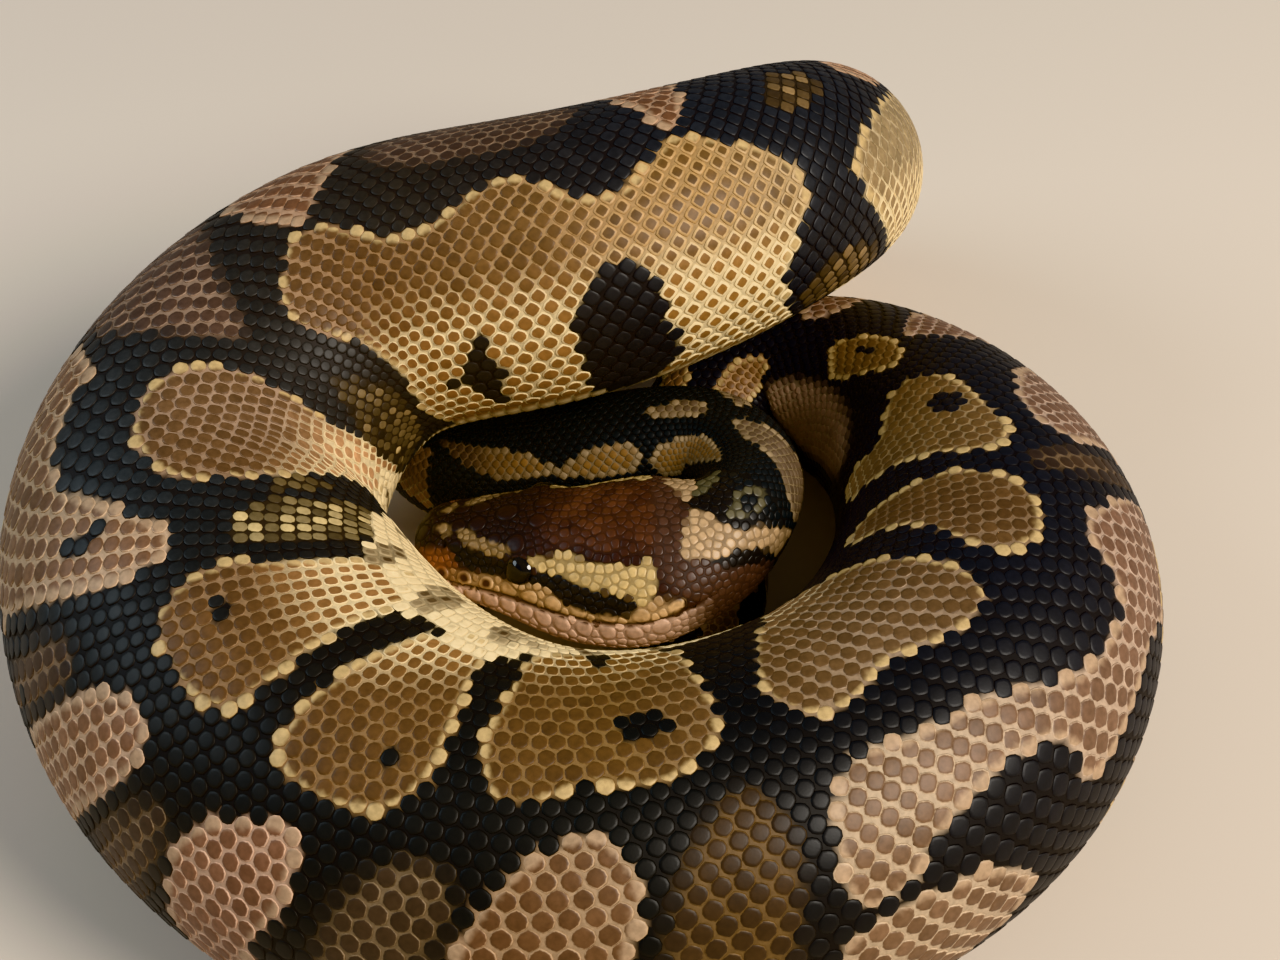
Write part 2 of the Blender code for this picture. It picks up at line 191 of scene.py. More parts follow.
# Brown patches that fade into the black.
DIM_PATCHES = [
    [(419, -30), (420, 0), (422, 18), (425, 35), (430, 52), (434, 52), (438, 40), (441, 25), (443, 5),
     (441, -30)],
    [(541, -30), (542, 10), (543, 26), (547, 40), (551, 45), (555, 42), (556, 30), (553, 15), (551, -30)],
    [(579, -30), (578, 10), (579, 25), (581, 40), (585, 50), (591, 57), (595, 50), (597, 35), (595, 20),
     (593, 0), (588, -30)],
    [(360, 2), (358, 20), (364, 36), (376, 42), (390, 40), (397, 26), (396, 2)],
    [(485, -30), (488, -5), (491, 10), (496, 18), (498, 8), (494, -8), (491, -30)],
    [(508, -30), (511, -5), (515, 12), (520, 22), (521, 10), (519, -8), (516, -30)],
    [(674, 28), (677, 32), (681, 15), (684, -8), (683, -25), (680, -12), (676, 10)],
    # This patch, low on the rear coil, is made many times paler by its colour table past s 706: partly its
    # own pale lower flank, partly painted light where the coil lies in shade.
    [(706, 96), (716, 82), (729, 72), (742, 62), (753, 54), (762, 50), (764, 60), (756, 76), (746, 98),
     (736, 112), (716, 114), (706, 108)],
]
# Patches where pale and dark scales are mixed.
SPECKLED_PATCHES = [
    [(318, 28), (323, 20), (328, 28), (331, 42), (327, 52), (321, 45)],
    [(424, 85), (417, 98), (410, 110), (404, 124), (402, 152), (426, 152), (430, 125), (433, 110),
     (430, 95)],
    [(489, 68), (494, 66), (499, 75), (503, 88), (505, 100), (506, 118), (497, 120), (492, 105), (490, 90),
     (488, 78)],
    [(480, 84), (483, 76), (487, 80), (487, 94), (483, 98)],
    [(318, 126), (324, 116), (332, 126), (333, 150), (322, 158), (314, 146)],
]
# Dark spots inside the blotches and on the belly's edge: s, q, half length, half height in degrees.
DARK_SPOTS = [(482, 23, 1.8, 7.5), (508, 62, 2, 4), (543, 66, 1.8, 3.5), (579, 81, 4.4, 6),
              (573, 114, 2.6, 6), (697, 48, 4.6, 6), (729, 43, 2.4, 4), (389, 134, 1.3, 2.5)]
BELLY_SPOTS = [(512, 112, 4.5, 6), (530.5, 120, 4.5, 10), (549, 123, 4, 9), (571, 121, 3.5, 6),
               (498, 126, 3, 6)]
# Black patches that reach up from the belly.
DARK_PATCHES = [
    [(359, 92), (355, 105), (353, 118), (355, 128), (352, 139), (355, 152), (357, 170), (367, 170),
     (368, 140), (368, 120), (365, 106), (362, 97)],
    [(379, 109), (383, 117), (386, 127), (385, 140), (383, 153), (380, 151), (380, 140), (378, 133),
     (381, 122)],
]
# Neck, where the two sides differ, and the length that has these marks.
NECK_LENGTH = (58, 142)
NECK_PALE = [
    [(66, -100), (65, -70), (66, -50), (69, -30), (72, -10), (75, 3), (79, 6), (81, 0), (80, -15),
     (78, -30), (76, -50), (75, -75), (73, -100)],
    [(83, -22), (84, -35), (86, -52), (89, -46), (88, -30), (86, -20)],
    [(86, 12), (88, -3), (92, -6), (97, 4), (100, 12), (95, 19), (89, 17)],
]
NECK_GOLD = [
    [(68, 34), (70, 27), (76, 31), (84, 36), (93, 40), (98, 50), (99, 64), (97, 78), (88, 78), (80, 68),
     (75, 56), (71, 45)],
    [(118, 57), (112, 45), (109, 37), (105, 35), (101.5, 40), (100.5, 50), (101.3, 62), (104, 71),
     (109, 68)],
    [(115, 55), (118, 39), (122, 29), (127, 25), (134, 24), (140, 27), (137, 36), (133, 45), (129, 54),
     (122, 58)],
]
# Small grey marks behind the crown, the first with a black middle.
NECK_GREY_MARKS = [
    [(55.5, -25), (56, -16), (58.5, -11), (61.3, -16), (63, -29), (62, -40), (60, -42), (57.5, -36)],
    [(52.5, 8), (53, 18), (56, 27), (61, 34), (61.5, 24), (58.5, 14), (56, 6)],
]
NECK_SPOTS = [(59.3, -27, 1.9, 8.5)]
# Lengths that lie hidden repeat the markings of seen ones: start, end, where the copy begins, stretch.
COPIED_MARKINGS = [(141, 290, 471, 1), (781, 908, 526, 0.62)]
# Where the belly's cream begins: its angle, and how much lower that is on lengths of the right side.
BELLY_EDGE = 118
FRONT = (486, 10, 560, 10)
BELLY_SHIFTS = [(44, RAISED), (34, (625, 12, 750, 12)), (-12, FRONT)]
BELLY_BEND = (6, (270, 10, 326, 6))    # and how much higher on the bend, on both sides
# Where a flank blotch turns paler on its way down: distances from the snout, angles.
LOW_START = ((430, 446, 530, 556, 600, 640), (84, 66, 68, 94, 94, 84))

# ---- the head: outlines for both sides, with q counted from the crown -------------------------------
# Cream marks, dark stripes, and the line of the pale band on the upper lip.
HEAD_CREAM = [
    [(5.5, 15), (7.5, 28), (9, 27), (8, 12), (7, 8)],
    [(9.5, 20), (11, 35), (14, 41), (18, 48), (21, 44), (21, 38), (17, 34), (14, 30), (13, 22), (11, 18)],
    [(24.6, 42), (24.6, 50), (27, 54), (28.5, 50), (27.5, 40)],
    [(28, 53), (31, 54), (35, 61), (38, 60), (41, 62), (42, 69), (43.5, 70), (44.5, 60), (45, 50),
     (44.5, 38), (43, 38), (41, 43), (38, 40), (35, 44), (32, 34), (30, 38), (28, 40)],
    [(48.3, 25), (48, 38), (50, 46), (54, 50), (57, 60), (59, 75), (61, 95), (62, 115), (67, 112), (64, 85),
     (61.5, 65), (59, 50), (56, 40), (54, 25), (53, 12), (51, 4), (50, 8), (49.5, 18)],
]
HEAD_DARK = [
    [(9, 45), (11, 63), (17, 64), (22, 66), (25, 60), (24, 48), (19, 52), (15, 46), (11, 38), (8, 35)],
    [(24, 64), (28, 67), (31, 74), (34, 79), (38, 80), (41, 78), (42.5, 70), (41, 64), (38, 61), (35, 62),
     (31, 55), (28, 54), (24, 56)],
]
HEAD_LIP = [(10, 84), (16, 78), (20, 77), (24, 77), (28, 76), (31, 80), (36, 84), (40, 84), (43, 79),
            (48, 72)]
LIP_WIDTH = 0.75             # half the width of the pale band on the upper lip
# Where the brown band behind the crown and the black neck begin: angles, distances from the snout.
NECK_BAND_START = ((0, 45, 62, 84), (43.5, 43.5, 46.0, 50.0))
BLACK_START = ((0, 45, 62, 82, 100, 130), (49.5, 50.0, 53.3, 57.3, 60.5, 66.0))
# Ridges and hollows of the head: height, place (s, q) on either side, reach in mm and in degrees.
RELIEF = [
    (0.45, 21.5, 36, 5.5, 13),       # brow
    (0.3, 13, 36, 5, 9),             # ridge from the brow to the nostril
    (-0.45, 15.5, 60, 5, 10),        # hollow between nostril and eye
    (-0.3, 29, 50, 4, 14),           # behind the eye
    (0.55, 42, 72, 8, 20),           # jaw muscle
    (0.35, 40, 24, 9, 14),           # the two swellings of the crown
    (-0.25, 38, 0, 10, 8),           # and the dip between them
    (-0.5, 51, 120, 4, 40),          # behind the jaw
    (-0.35, 12, 180, 9, 5),          # groove of the chin
]
RELIEF_END = 68.0            # the skin is plain behind this
HEAD_COLOURS_END = 66.0      # and has the body's colours behind this

EYE_PLACE = (23.2, 58.0)
EYE_RADIUS = 3.4
EYE_RINGS, EYE_SIDES = 40, 64
PUPIL_ANGLE = 22.0           # half angles of the pupil and the iris, seen from the eye's centre
IRIS_ANGLE = 42.0
EYE_OPENING = 1.85           # radius of the round gap that the scales leave round an eye
EYE_RING = 11                # scales round an eye
EYE_RING_RADIUS = 0.66
EYE_DEGREE = 0.21            # mm a degree round the head at the eye, and at the nostril
NOSTRIL_DEGREE = 0.15
NOSTRIL_PLACE = (7.4, 37.0)
NOSTRIL_OPENING = 0.5
# Kinds of head scale: plain, upper and lower labial, none at all.
SCALE, UPPER, LOWER, OPENING = 0, 1, 2, 5
# Plates of both sides of the head, then those on its middle line: s, q, radius.
HEAD_PLATES = [(2.9, 17, 1.5), (6.2, 15, 1.5), (9.6, 14, 1.6), (13.4, 13, 1.8), (21.6, 34, 1.9),
               (25, 11, 1.6), (17.4, 31, 1.3), (4.7, 42, 1.2), (9.9, 38, 1.2), (13.2, 39, 1.15),
               (1.3, 62, 1.1), (1.3, 132, 1.1)]
MIDDLE_PLATES = [(0.64, 0, 1.4), (0.64, 180, 1.3), (18.6, 0, 2.2)]
UPPER_LABIALS = (2.6, 47.0, 11)      # first, last, number
LOWER_LABIALS = (2.2, 45.0, 13)
LABIAL_PLACES = (1.55, 1.4)          # middles of the labials above and below the mouth line
LABIAL_RADIUS = 1.7
PIT_END = 18.0                       # upper labials have heat pits as far back as this
HEAD_TRIES = 22000                   # places tried for the small scales
CLOSEST = 0.9                        # a place is kept if it is this share of the two radii from all others
PUSHES = 14                          # times that the small scales push each other apart
PUSH_REACH, PUSH_SHARE = 1.08, 0.22  # up to this share of the two radii, and by this share of what is missing
HEAD_REACH = 1.55                    # of a scale at most, as a share of its radius
HEAD_POWER = 9                       # how sharp its corners are
HEAD_THICKNESS = (0.05, 0.06)        # of a scale: in mm, and as a share of its radius
HEAD_SCALE_SIDES = 18
HEAD_GAP = 0.09                      # between head scales
MOUTH_GAP = 0.5                      # between the lips
HEAD_TILT = 0.07                     # slope of the rear scales up to their free edge
HEAD_SHADES = (0.88, 1.12)
PAINTED_RADIUS = 1.1                 # scales larger than this carry more than one colour
# Rings of a plain head scale, and of one with a heat pit.
HEAD_RINGS = [(0.55, 0.95), (0.86, 0.70), (1.0, -0.6)]
PIT_RINGS = [(0.34, 0.1), (0.70, 1.1), (1.0, -0.6)]


# ---- colours ----------------------------------------------------------------------------------------
def colour(red, green, blue):
    """A linear colour from the red, green and blue of a display, 0 to 255."""
    part = np.array([red, green, blue]) / 255
    return np.where(part < 0.04045, part / 12.92, ((part + 0.055) / 1.055) ** 2.4)


# The middle of a scale and the net that its rim shows, by marking.
BLACK_SCALE, BLACK_NET = colour(26, 29, 31), colour(21, 20, 20)
GOLD_SCALE, GOLD_NET = colour(92, 65, 34), colour(150, 118, 76)
BRIGHT_SCALE, BRIGHT_NET = colour(104, 76, 42), colour(178, 142, 94)
BACK_SCALE, BACK_NET = colour(120, 90, 66), colour(206, 176, 142)
DIM_SCALE, DIM_NET = colour(64, 49, 38), colour(126, 104, 82)
BELLY_SCALE, BELLY_NET = colour(246, 220, 170), colour(240, 216, 168)
BLACK_CORE = 0.92            # share of a black scale that keeps its own colour
GOLD_LOW = colour(146, 106, 60)
BEND_SCALE = colour(132, 100, 60)
SPECK_DARK = colour(52, 40, 27)
SPECK_PALE = colour(150, 122, 84)
BELLY_SMUDGE = colour(84, 64, 44)
NECK_BROWN = colour(76, 54, 44)
NECK_BAR = colour(176, 146, 110)
NECK_CREAM = colour(98, 82, 66)
NECK_GOLD_SCALE = colour(122, 90, 50)
NECK_RIM = colour(146, 126, 98)
NECK_GREY = colour(92, 86, 66)
CROWN_BROWN = colour(46, 22, 12)
CROWN_TAN = colour(86, 52, 34)
SNOUT_BROWN = colour(27, 14, 9)
SNOUT_ORANGE = colour(134, 80, 40)
SNOUT_PALE = colour(140, 116, 82)
HEAD_PALE = colour(192, 164, 112)
HEAD_BLACK = colour(22, 18, 16)
LIP_CREAM = colour(206, 168, 122)
LIP_LINE = colour(58, 24, 12)
JAW_PINK = colour(222, 184, 156)
# Painted shade: the dark brown painted in the hollow middle of a heat pit.
PIT_HOLLOW_SHADE = colour(62, 34, 22)
IRIS = colour(22, 18, 13)
EYE_BLACK = (0.004, 0.004, 0.005, 1)
# The pale edge of a blotch: its width, then its colour and strength on the flanks and on the back.
RIM_WIDTH = 1.6
RIMS = [(colour(196, 168, 118), 0.85), (BACK_NET, 0.5)]

# How the colours of the markings are made paler or darker along the body: s, then what red, green and blue
# are multiplied by. Partly this is the markings' own tint and partly painted light, shade and sheen: lengths
# that the lamps leave in shade are made paler, lengths lit from the front are made darker, and the black of
# the left coil is made paler as painted sheen.
BLACK_TINT_AND_LIGHT = [(200, 1, 1, 1), (262, 2, 1.8, 1.9), (345, 2, 1.8, 1.9), (390, 2.7, 1.8, 1.2),
               (472, 3, 2.7, 2.5), (517, 1.3, 0.95, 0.7), (575, 0.6, 0.5, 0.4), (652, 1.2, 1.05, 1.2)]
GOLD_TINT_AND_LIGHT = [(316, 1.1, 1.4, 2), (345, 1, 1, 1), (372, 1, 1, 1.15), (398, 0.8, 0.75, 0.85),
              (457, 1.15, 1.28, 2.1), (516, 1, 1, 1.25), (540, 0.95, 0.95, 1.1), (575, 0.85, 0.85, 0.85),
              (624, 1.25, 1.5, 2.5), (663, 0.8, 0.85, 1.2), (692, 1.3, 1.5, 2), (740, 1, 1, 1),
              (756, 1.5, 1.5, 1.9)]
SPECK_TINT_AND_LIGHT = [(330, 1, 1, 1), (424, 0.6, 0.65, 0.7), (470, 1, 1, 1), (497, 2.2, 2.6, 2.7), (600, 1, 1, 1)]
BACK_TINT_AND_LIGHT = [(410, 0.8, 0.7, 0.7), (470, 0.8, 0.8, 0.8), (506, 1.1, 1.05, 1.1), (531, 1.1, 1, 1.1),
              (562, 0.65, 0.6, 0.55), (611, 0.9, 0.95, 1), (664, 0.8, 0.8, 0.95)]
DIM_TINT_AND_LIGHT = [(376, 1.2, 1.2, 1.3), (429, 1.6, 1.6, 1.8), (549, 1.1, 1.15, 1.1), (587, 0.8, 0.7, 0.45),
             (690, 1, 1, 1), (706, 8, 9, 10)]
PALEST = 0.6                 # no colour is made paler than this

# ---- studio, in metres and radians ------------------------------------------------------------------
FLOOR_COLOUR = colour(206, 194, 180)
FLOOR_SIZE = 12.0
WORLD_COLOUR = (0.95, 0.97, 1.0, 1)
WORLD_STRENGTH = 0.33
# Lamps: name, place, diameter, power, colour.
LAMPS = [("key", (0.68, -0.42, 0.78), 0.5, 14.0, (1.0, 0.93, 0.84)),
         ("side", (-0.80, 0.05, 0.60), 0.6, 4.0, (0.80, 0.92, 1.0))]
LAMP_AIM = (0, 0, 0.03)
CAMERA_AIM = (0.0100, 0.0075, 0.0300)
CAMERA_DISTANCE = 0.400
CAMERA_HEIGHT = math.radians(48)
CAMERA_LENS, CAMERA_SENSOR = 58.5, 36.0


# ---- curves and the sweep ---------------------------------------------------------------------------
def spline(knots, values, at):
    """The natural cubic spline through values at knots, read at the places `at`."""
    knots = np.asarray(knots, float)
    values = np.asarray(values, float).reshape(len(knots), -1)
    gaps = np.diff(knots)
    system = np.eye(len(knots))
    bends = np.zeros_like(values)
    for i in range(1, len(knots) - 1):
        system[i, i - 1:i + 2] = gaps[i - 1], 2 * (gaps[i - 1] + gaps[i]), gaps[i]
        bends[i] = 6 * ((values[i + 1] - values[i]) / gaps[i] - (values[i] - values[i - 1]) / gaps[i - 1])
    second = np.linalg.solve(system, bends)
    at = np.atleast_1d(np.asarray(at, float))
    k = np.clip(np.searchsorted(knots, at) - 1, 0, len(knots) - 2)
    h = gaps[k][:, None]
    b = (at[:, None] - knots[k][:, None]) / h
    a = 1 - b
    cubic = (a ** 3 - a) * second[k] + (b ** 3 - b) * second[k + 1]
    return a * values[k] + b * values[k + 1] + cubic * h ** 2 / 6


def smooth(x):
    """A smooth step from 0, for x up to 0, to 1, for x from 1 on."""
    x = np.clip(x, 0, 1)
    return x * x * (3 - 2 * x)


def window(x, start, rise, end, fall):
    """1 between start and end, fading to 0 at them over the lengths rise and fall."""
    return smooth((x - start) / rise) * smooth((end - x) / fall)


def hill(x, y=0.0):
    """A round hill of height 1 over (0, 0)."""
    return np.exp(-x ** 2 - y ** 2)


def half_turn(angle):
    """The same angle between -180 and 180."""
    return (angle + 180) % 360 - 180


def unit(vectors):
    vectors = np.asarray(vectors, float)
    return vectors / np.linalg.norm(vectors, axis=-1, keepdims=True)


def running_length(points):
    return np.concatenate([[0], np.cumsum(np.linalg.norm(np.diff(points, axis=0), axis=1))])


class Body:
    """The sweep: centre line, frame, section and surface at any place on the body."""
    STEP = 0.25                  # between the places that its tables hold
    FINE = 6000                  # points along the line when its length is measured

    def __init__(self):
        points = np.array(HEAD_ROUTE + [row[:3] for row in SWEPT_ROUTE])
        points[:, :2] += SHIFT
        chord = running_length(points)
        fine = np.linspace(0, chord[-1], self.FINE)
        distance = running_length(spline(chord, points, fine))
        self.length = distance[-1]
        knots = np.interp(chord[len(HEAD_ROUTE):], fine, distance)
        head = [row for row in HEAD_OUTLINE if row[0] < knots[0]]
        sizes = [row[1:] for row in head] + [(row[3],) * 3 for row in SWEPT_ROUTE]
        self.at = np.arange(0, self.length + self.STEP, self.STEP)
        self.sizes = spline([row[0] for row in head] + list(knots), sizes, self.at)
        self.line = spline(chord, points, np.interp(self.at, distance, fine))
        along = unit(np.gradient(self.line, self.STEP, axis=0))
        right = unit(np.cross((0, 0, 1), along))
        up = np.cross(along, right)
        start, end = HEAD_ROLL_END
        roll = (math.radians(HEAD_ROLL) * smooth((end - self.at) / (end - start)))[:, None]
        self.right = right * np.cos(roll) - up * np.sin(roll)
        self.up = up * np.cos(roll) + right * np.sin(roll)
        self.pitches = np.interp(self.at, *zip(*PITCHES))
        self.counts = np.cumsum(self.STEP / self.pitches)
        lean = np.interp(self.at, *zip(*LEAN))
        average = np.ones(LEAN_AVERAGED) / LEAN_AVERAGED
        lean = np.pad(lean, LEAN_AVERAGED - 1, mode="edge")
        self.leans = np.convolve(lean, np.convolve(average, average), "valid")

    def read(self, table, s):
        return np.stack([np.interp(s, self.at, column) for column in table.T], axis=-1)

    def radius(self, s):
        return np.interp(s, self.at, self.sizes[:, 0])

    def lean(self, s):
        return np.interp(s, self.at, self.leans)

    def size(self, s, depth):
        """Half width, height above and depth below the centre line, `depth` inside the solids."""
        size = self.read(self.sizes, s)
        snout = np.clip(1 - (s - depth) / SNOUT_ROUNDING, 0, 1) ** SNOUT_BLUNTNESS
        tip = np.clip(1 - (self.length - depth - s) / TAIL_ROUNDING, 0, 1) ** 2
        closing = (1 - snout) ** (1 / SNOUT_BLUNTNESS) * (1 - tip) ** 0.5
        return np.maximum(size * closing[..., None] - depth, THINNEST)

    def surface(self, s, q, depth=SKIN_DEPTH):
        """The point at (s, q), `depth` inside the solids' surface."""
        s, q = np.broadcast_arrays(np.asarray(s, float), np.asarray(q, float))
        turn = np.radians(q - self.lean(s))
        width, height, low = np.moveaxis(self.size(s, depth), -1, 0)
        fade = np.clip((NECK_START - s) / NECK_BLEND, 0, 1)
        level = -CHEEK_LEVEL * low * fade
        above = np.cos(turn) > 0
        power = 2 / (2 + (np.where(above, CROWN_POWER, JAW_POWER) - 2) * fade)
        across = np.sign(np.sin(turn)) * np.abs(np.sin(turn)) ** power * width
        rise = np.abs(np.cos(turn)) ** power
        rise = level + np.where(above, rise * (height - level), -rise * (low + level))
        inward = half_turn(np.degrees(turn) - SHOULDER_PLACE[1])
        shoulder = hill((s - SHOULDER_PLACE[0]) / SHOULDER_REACH[0], inward / SHOULDER_REACH[1])
        below = np.abs(half_turn(np.degrees(turn))) - JOWL_PLACE[1]
        jowl = hill((s - JOWL_PLACE[0]) / JOWL_REACH[0], below / JOWL_REACH[1])
        swell = 1 + SHOULDER * shoulder + JOWL * jowl
        across, rise = across * swell, rise * swell
        return self.read(self.line, s) + across[..., None] * self.read(self.right, s) \
            + rise[..., None] * self.read(self.up, s)

    def patch(self, s, q, depth=SKIN_DEPTH):
        """Point, way to the tail, way round by the right side, outward, and the stretch along the body.

        The two ways follow s and q, so they aren't square to each other where the ridge leans over."""
        ds, dq = 0.4, 1.0
        point = self.surface(s, q, depth)
        tailward = (self.surface(s + ds, q, depth) - self.surface(s - ds, q, depth)) / (2 * ds)
        around = (self.surface(s, q + dq, depth) - self.surface(s, q - dq, depth)) / (2 * dq)
        out = unit(np.cross(tailward, around))
        return point, unit(tailward), unit(around), out, np.linalg.norm(tailward, axis=-1)

    def cell(self, count):
        """Where the scales counted from the snout lie, and their pitch there."""
        s = np.interp(count, self.counts, self.at)
        return s, np.interp(s, self.at, self.pitches)

    def whole_cells(self, start, end):
        first, last = np.interp((start, end), self.at, self.counts)
        return np.arange(math.ceil(first), math.ceil(last))

    def mouth_angle(self, s):
        """The angle q of the mouth line, the same on both sides."""
        height, low = np.moveaxis(self.size(s, 0.0), -1, 0)[1:]
        level = -CHEEK_LEVEL * low
        line = spline(*zip(*MOUTH_LINE), np.ravel(s))[:, 0].reshape(np.shape(s))
        high = np.clip((line - level) / (height - level), 0, 1) ** (CROWN_POWER / 2)
        deep = np.clip((level - line) / (low + level), 0, 1) ** (JAW_POWER / 2)
        return np.degrees(np.arccos(np.where(line > level, high, -deep)))


BODY = Body()


def mm_a_degree(s, q):
    return np.linalg.norm(BODY.surface(s, q + 1) - BODY.surface(s, q - 1), axis=-1) / 2


def relief(s, q):
    """How far the skin stands out from the plain sweep: the head's ridges and hollows."""
    side = np.abs(q)
    height = sum(high * hill((s - place) / reach, (side - angle) / reach_round)
                 for high, place, angle, reach, reach_round in RELIEF)
    away = np.hypot(s - EYE_PLACE[0], (side - EYE_PLACE[1]) * EYE_DEGREE)
    height += 0.5 * hill((away - 3.0) / 0.8)                   # rim of the eye
    away = np.hypot(s - NOSTRIL_PLACE[0], (side - NOSTRIL_PLACE[1]) * NOSTRIL_DEGREE)
    height += 0.25 * hill((away - 1.0) / 0.5) - 0.9 * hill(away / 0.5)
    gap = (side - BODY.mouth_angle(np.clip(s, 0, MOUTH_END))) * np.radians(BODY.radius(s))
    return height - 0.45 * hill(gap / 0.5) * smooth((MOUTH_END + 1.5 - s) / 3)


# ---- markings ---------------------------------------------------------------------------------------
def rounded(outline, passes=2):
    """The outline with its corners cut, in (s, q)."""
    points = np.array(outline, float)
    for _ in range(passes):
        after = np.roll(points, -1, axis=0)
        points = np.stack([points * 0.75 + after * 0.25, points * 0.25 + after * 0.75], axis=1).reshape(-1, 2)
    return points


def depth_in(outline, s, q, reach=6.0):
    """Distance inside the outline in mm at each place, negative outside, never under -reach."""
    points = rounded(outline)
    scale = np.radians(BODY.radius(points[:, 0].mean()))
    points = points * (1, scale)
    x, y = s, q * scale
    depth = np.full(s.shape, -reach)
    low, high = points.min(axis=0) - reach, points.max(axis=0) + reach
    near = (x > low[0]) & (x < high[0]) & (y > low[1]) & (y < high[1])
    if not near.any():
        return depth
    place = np.stack([x[near], y[near]], axis=-1)
    best = np.full(len(place), np.inf)
    crossings = np.zeros(len(place), int)
    for start, end in zip(points, np.roll(points, -1, axis=0)):
        edge = end - start
        share = np.clip((place - start) @ edge / (edge @ edge), 0, 1)
        best = np.minimum(best, np.linalg.norm(place - start - share[:, None] * edge, axis=1))
        spans = (start[1] > place[:, 1]) != (end[1] > place[:, 1])
        if edge[1]:
            crossings += spans & (place[:, 0] < start[0] + (place[:, 1] - start[1]) * edge[0] / edge[1])
    depth[near] = np.where(crossings % 2 == 1, best, -best)
    return np.maximum(depth, -reach)


def deepest(outlines, s, q):
    return np.max([depth_in(outline, s, q) for outline in outlines], axis=0)


def on_flanks(outlines, s, q):
    """Distance inside the outlines of the right flank, or inside their copies on the left flank."""
    return np.maximum(deepest(outlines, s, q), deepest(outlines, s - LEFT_OFFSET, -q))


def in_spots(spots, s, q):
    """True inside any of the oval spots."""
    inside = np.zeros(s.shape, bool)
    for middle, angle, half_length, half_angle in spots:
        inside |= ((s - middle) / half_length) ** 2 + ((q - angle) / half_angle) ** 2 < 1
    return inside


def mixed(a, b, share):
    """Row by row from colour a, where share is 0, to colour b, where it is 1."""
    share = np.clip(share, 0, 1)[:, None]
    return a * (1 - share) + b * share


def tinted_and_lit(tone, tints_and_light, s):
    """The colour at each s, made paler or darker as the table says: partly its own tint, partly painted
    light, shade and sheen.
    """
    places, *parts = zip(*tints_and_light)
    tone = tone * np.stack([np.interp(s, places, part) for part in parts], axis=-1)
    return tone * np.minimum(1, PALEST / tone.max(axis=-1, keepdims=True))


def waves(s, q, seed, length=14.0):
    """Soft blotchy noise of (s, q), about -1 to 1."""
    rng = np.random.default_rng(seed)
    total = np.zeros(s.shape)
    for _ in range(7):
        direction = rng.uniform(0, 2 * math.pi)
        wave = 2 * math.pi / (length * rng.uniform(0.6, 1.6))
        total += np.sin(wave * (s * math.cos(direction) + q * 0.5 * math.sin(direction)) + rng.uniform(0, 7))
    return total / 3.2


def lay(layers, where, *values):
    """Write values over the layers, each value over its own layer, where the mask is true."""
    for layer, value in zip(layers, values):
        layer[where] = np.broadcast_to(value, layer.shape)[where]


def paint_head(s, q):
    """Scale colour, net colour and the share of a scale that keeps its own colour, on the head."""
    side = np.abs(q)
    mouth = BODY.mouth_angle(np.clip(s, 0, MOUTH_END))
    cloud = 0.5 * waves(s, q, 3, 9) + 0.5 * waves(s, q, 4, 5)
    tan = window(s, 24, 8, 50, 5) * smooth((38 - side) / 12) * smooth(0.62 + 0.5 * cloud)
    labial = smooth((side - 64) / 4) * smooth((48 - s) / 4) * (0.5 + 0.5 * smooth((s - 10) / 8))
    off = np.abs(side - np.interp(s, *zip(*HEAD_LIP))) * np.radians(BODY.radius(s))
    band = smooth((LIP_WIDTH + 0.5 - off) / 0.5) * ((s > HEAD_LIP[0][0]) & (s < HEAD_LIP[-1][0]))
    line = smooth((side - mouth + 4) / 2.5) * window(s, 3, 5, MOUTH_END, 3)
    below = smooth((side - mouth) / 2)
    jaw = mixed(JAW_PINK, NECK_BROWN, smooth((s - 46) / 6) * smooth((150 - side) / 30))
    bar = NECK_BAR * (1 - 0.35 * smooth((side - 62) / 30))[:, None]
    layers = [
        (CROWN_TAN, tan),
        (SNOUT_BROWN, 0.85 * smooth((29 - s) / 9) * smooth((52 - side) / 12)),
        (SNOUT_ORANGE, smooth((13 - s) / 7) * smooth((side - 34) / 20)),
        (NECK_BROWN, smooth((s - np.interp(side, *NECK_BAND_START)) / 2.5) * (side < 105)),
        (LIP_CREAM, 0.75 * labial * smooth((mouth + 2 - side) / 3)),
        (LIP_CREAM, band),
        (HEAD_BLACK, smooth((deepest(HEAD_DARK, s, side) + 0.3) / 0.6)),
        (LIP_LINE, 0.9 * line),
        (jaw, below),
        (HEAD_BLACK, smooth(s - np.interp(side, *BLACK_START))),
    ]
    for tone, outlines in (SNOUT_PALE, HEAD_CREAM[:2]), (HEAD_PALE, HEAD_CREAM[2:-1]), (bar, HEAD_CREAM[-1:]):
        layers.append((tone, smooth((deepest(outlines, s, side) + 0.25) / 0.5) * (side < mouth + 20)))
    scale = CROWN_BROWN
    for tone, share in layers:
        scale = mixed(scale, tone, share)
    return scale, scale * (0.76 + 0.14 * below[:, None]), np.full(s.shape, 0.86)


def paint_flank(layers, depth, s, q):
    """Lay golden flank blotches over the colours, where depth is above 0."""
    low = smooth((np.abs(q) - np.interp(s, *LOW_START)) / 32)
    bright = smooth((480 - s) / 60)
    bend = smooth((336 - s) / 10)
    lit = window(s, 430, 14, 518, 16) * low
    gold = mixed(mixed(mixed(GOLD_SCALE, BRIGHT_SCALE, bright), BEND_SCALE, bend), GOLD_LOW, low)
    # The gold carries painted light and shade along the body as well as its own tint, and painted light on
    # the low flank of the left coil.
    gold = tinted_and_lit(gold, GOLD_TINT_AND_LIGHT, s) * (1 + 0.7 * lit)[:, None]
    net = mixed(tinted_and_lit(mixed(GOLD_NET, BRIGHT_NET, bright), GOLD_TINT_AND_LIGHT, s), BELLY_NET, low)
    dotted = window(s, 325, 6, 372, 16)
    core = 0.95 - 0.30 * dotted - 0.16 * low * (1 - dotted)
    lay(layers, depth > 0, gold, net * (1 + 0.15 * bend)[:, None], core)


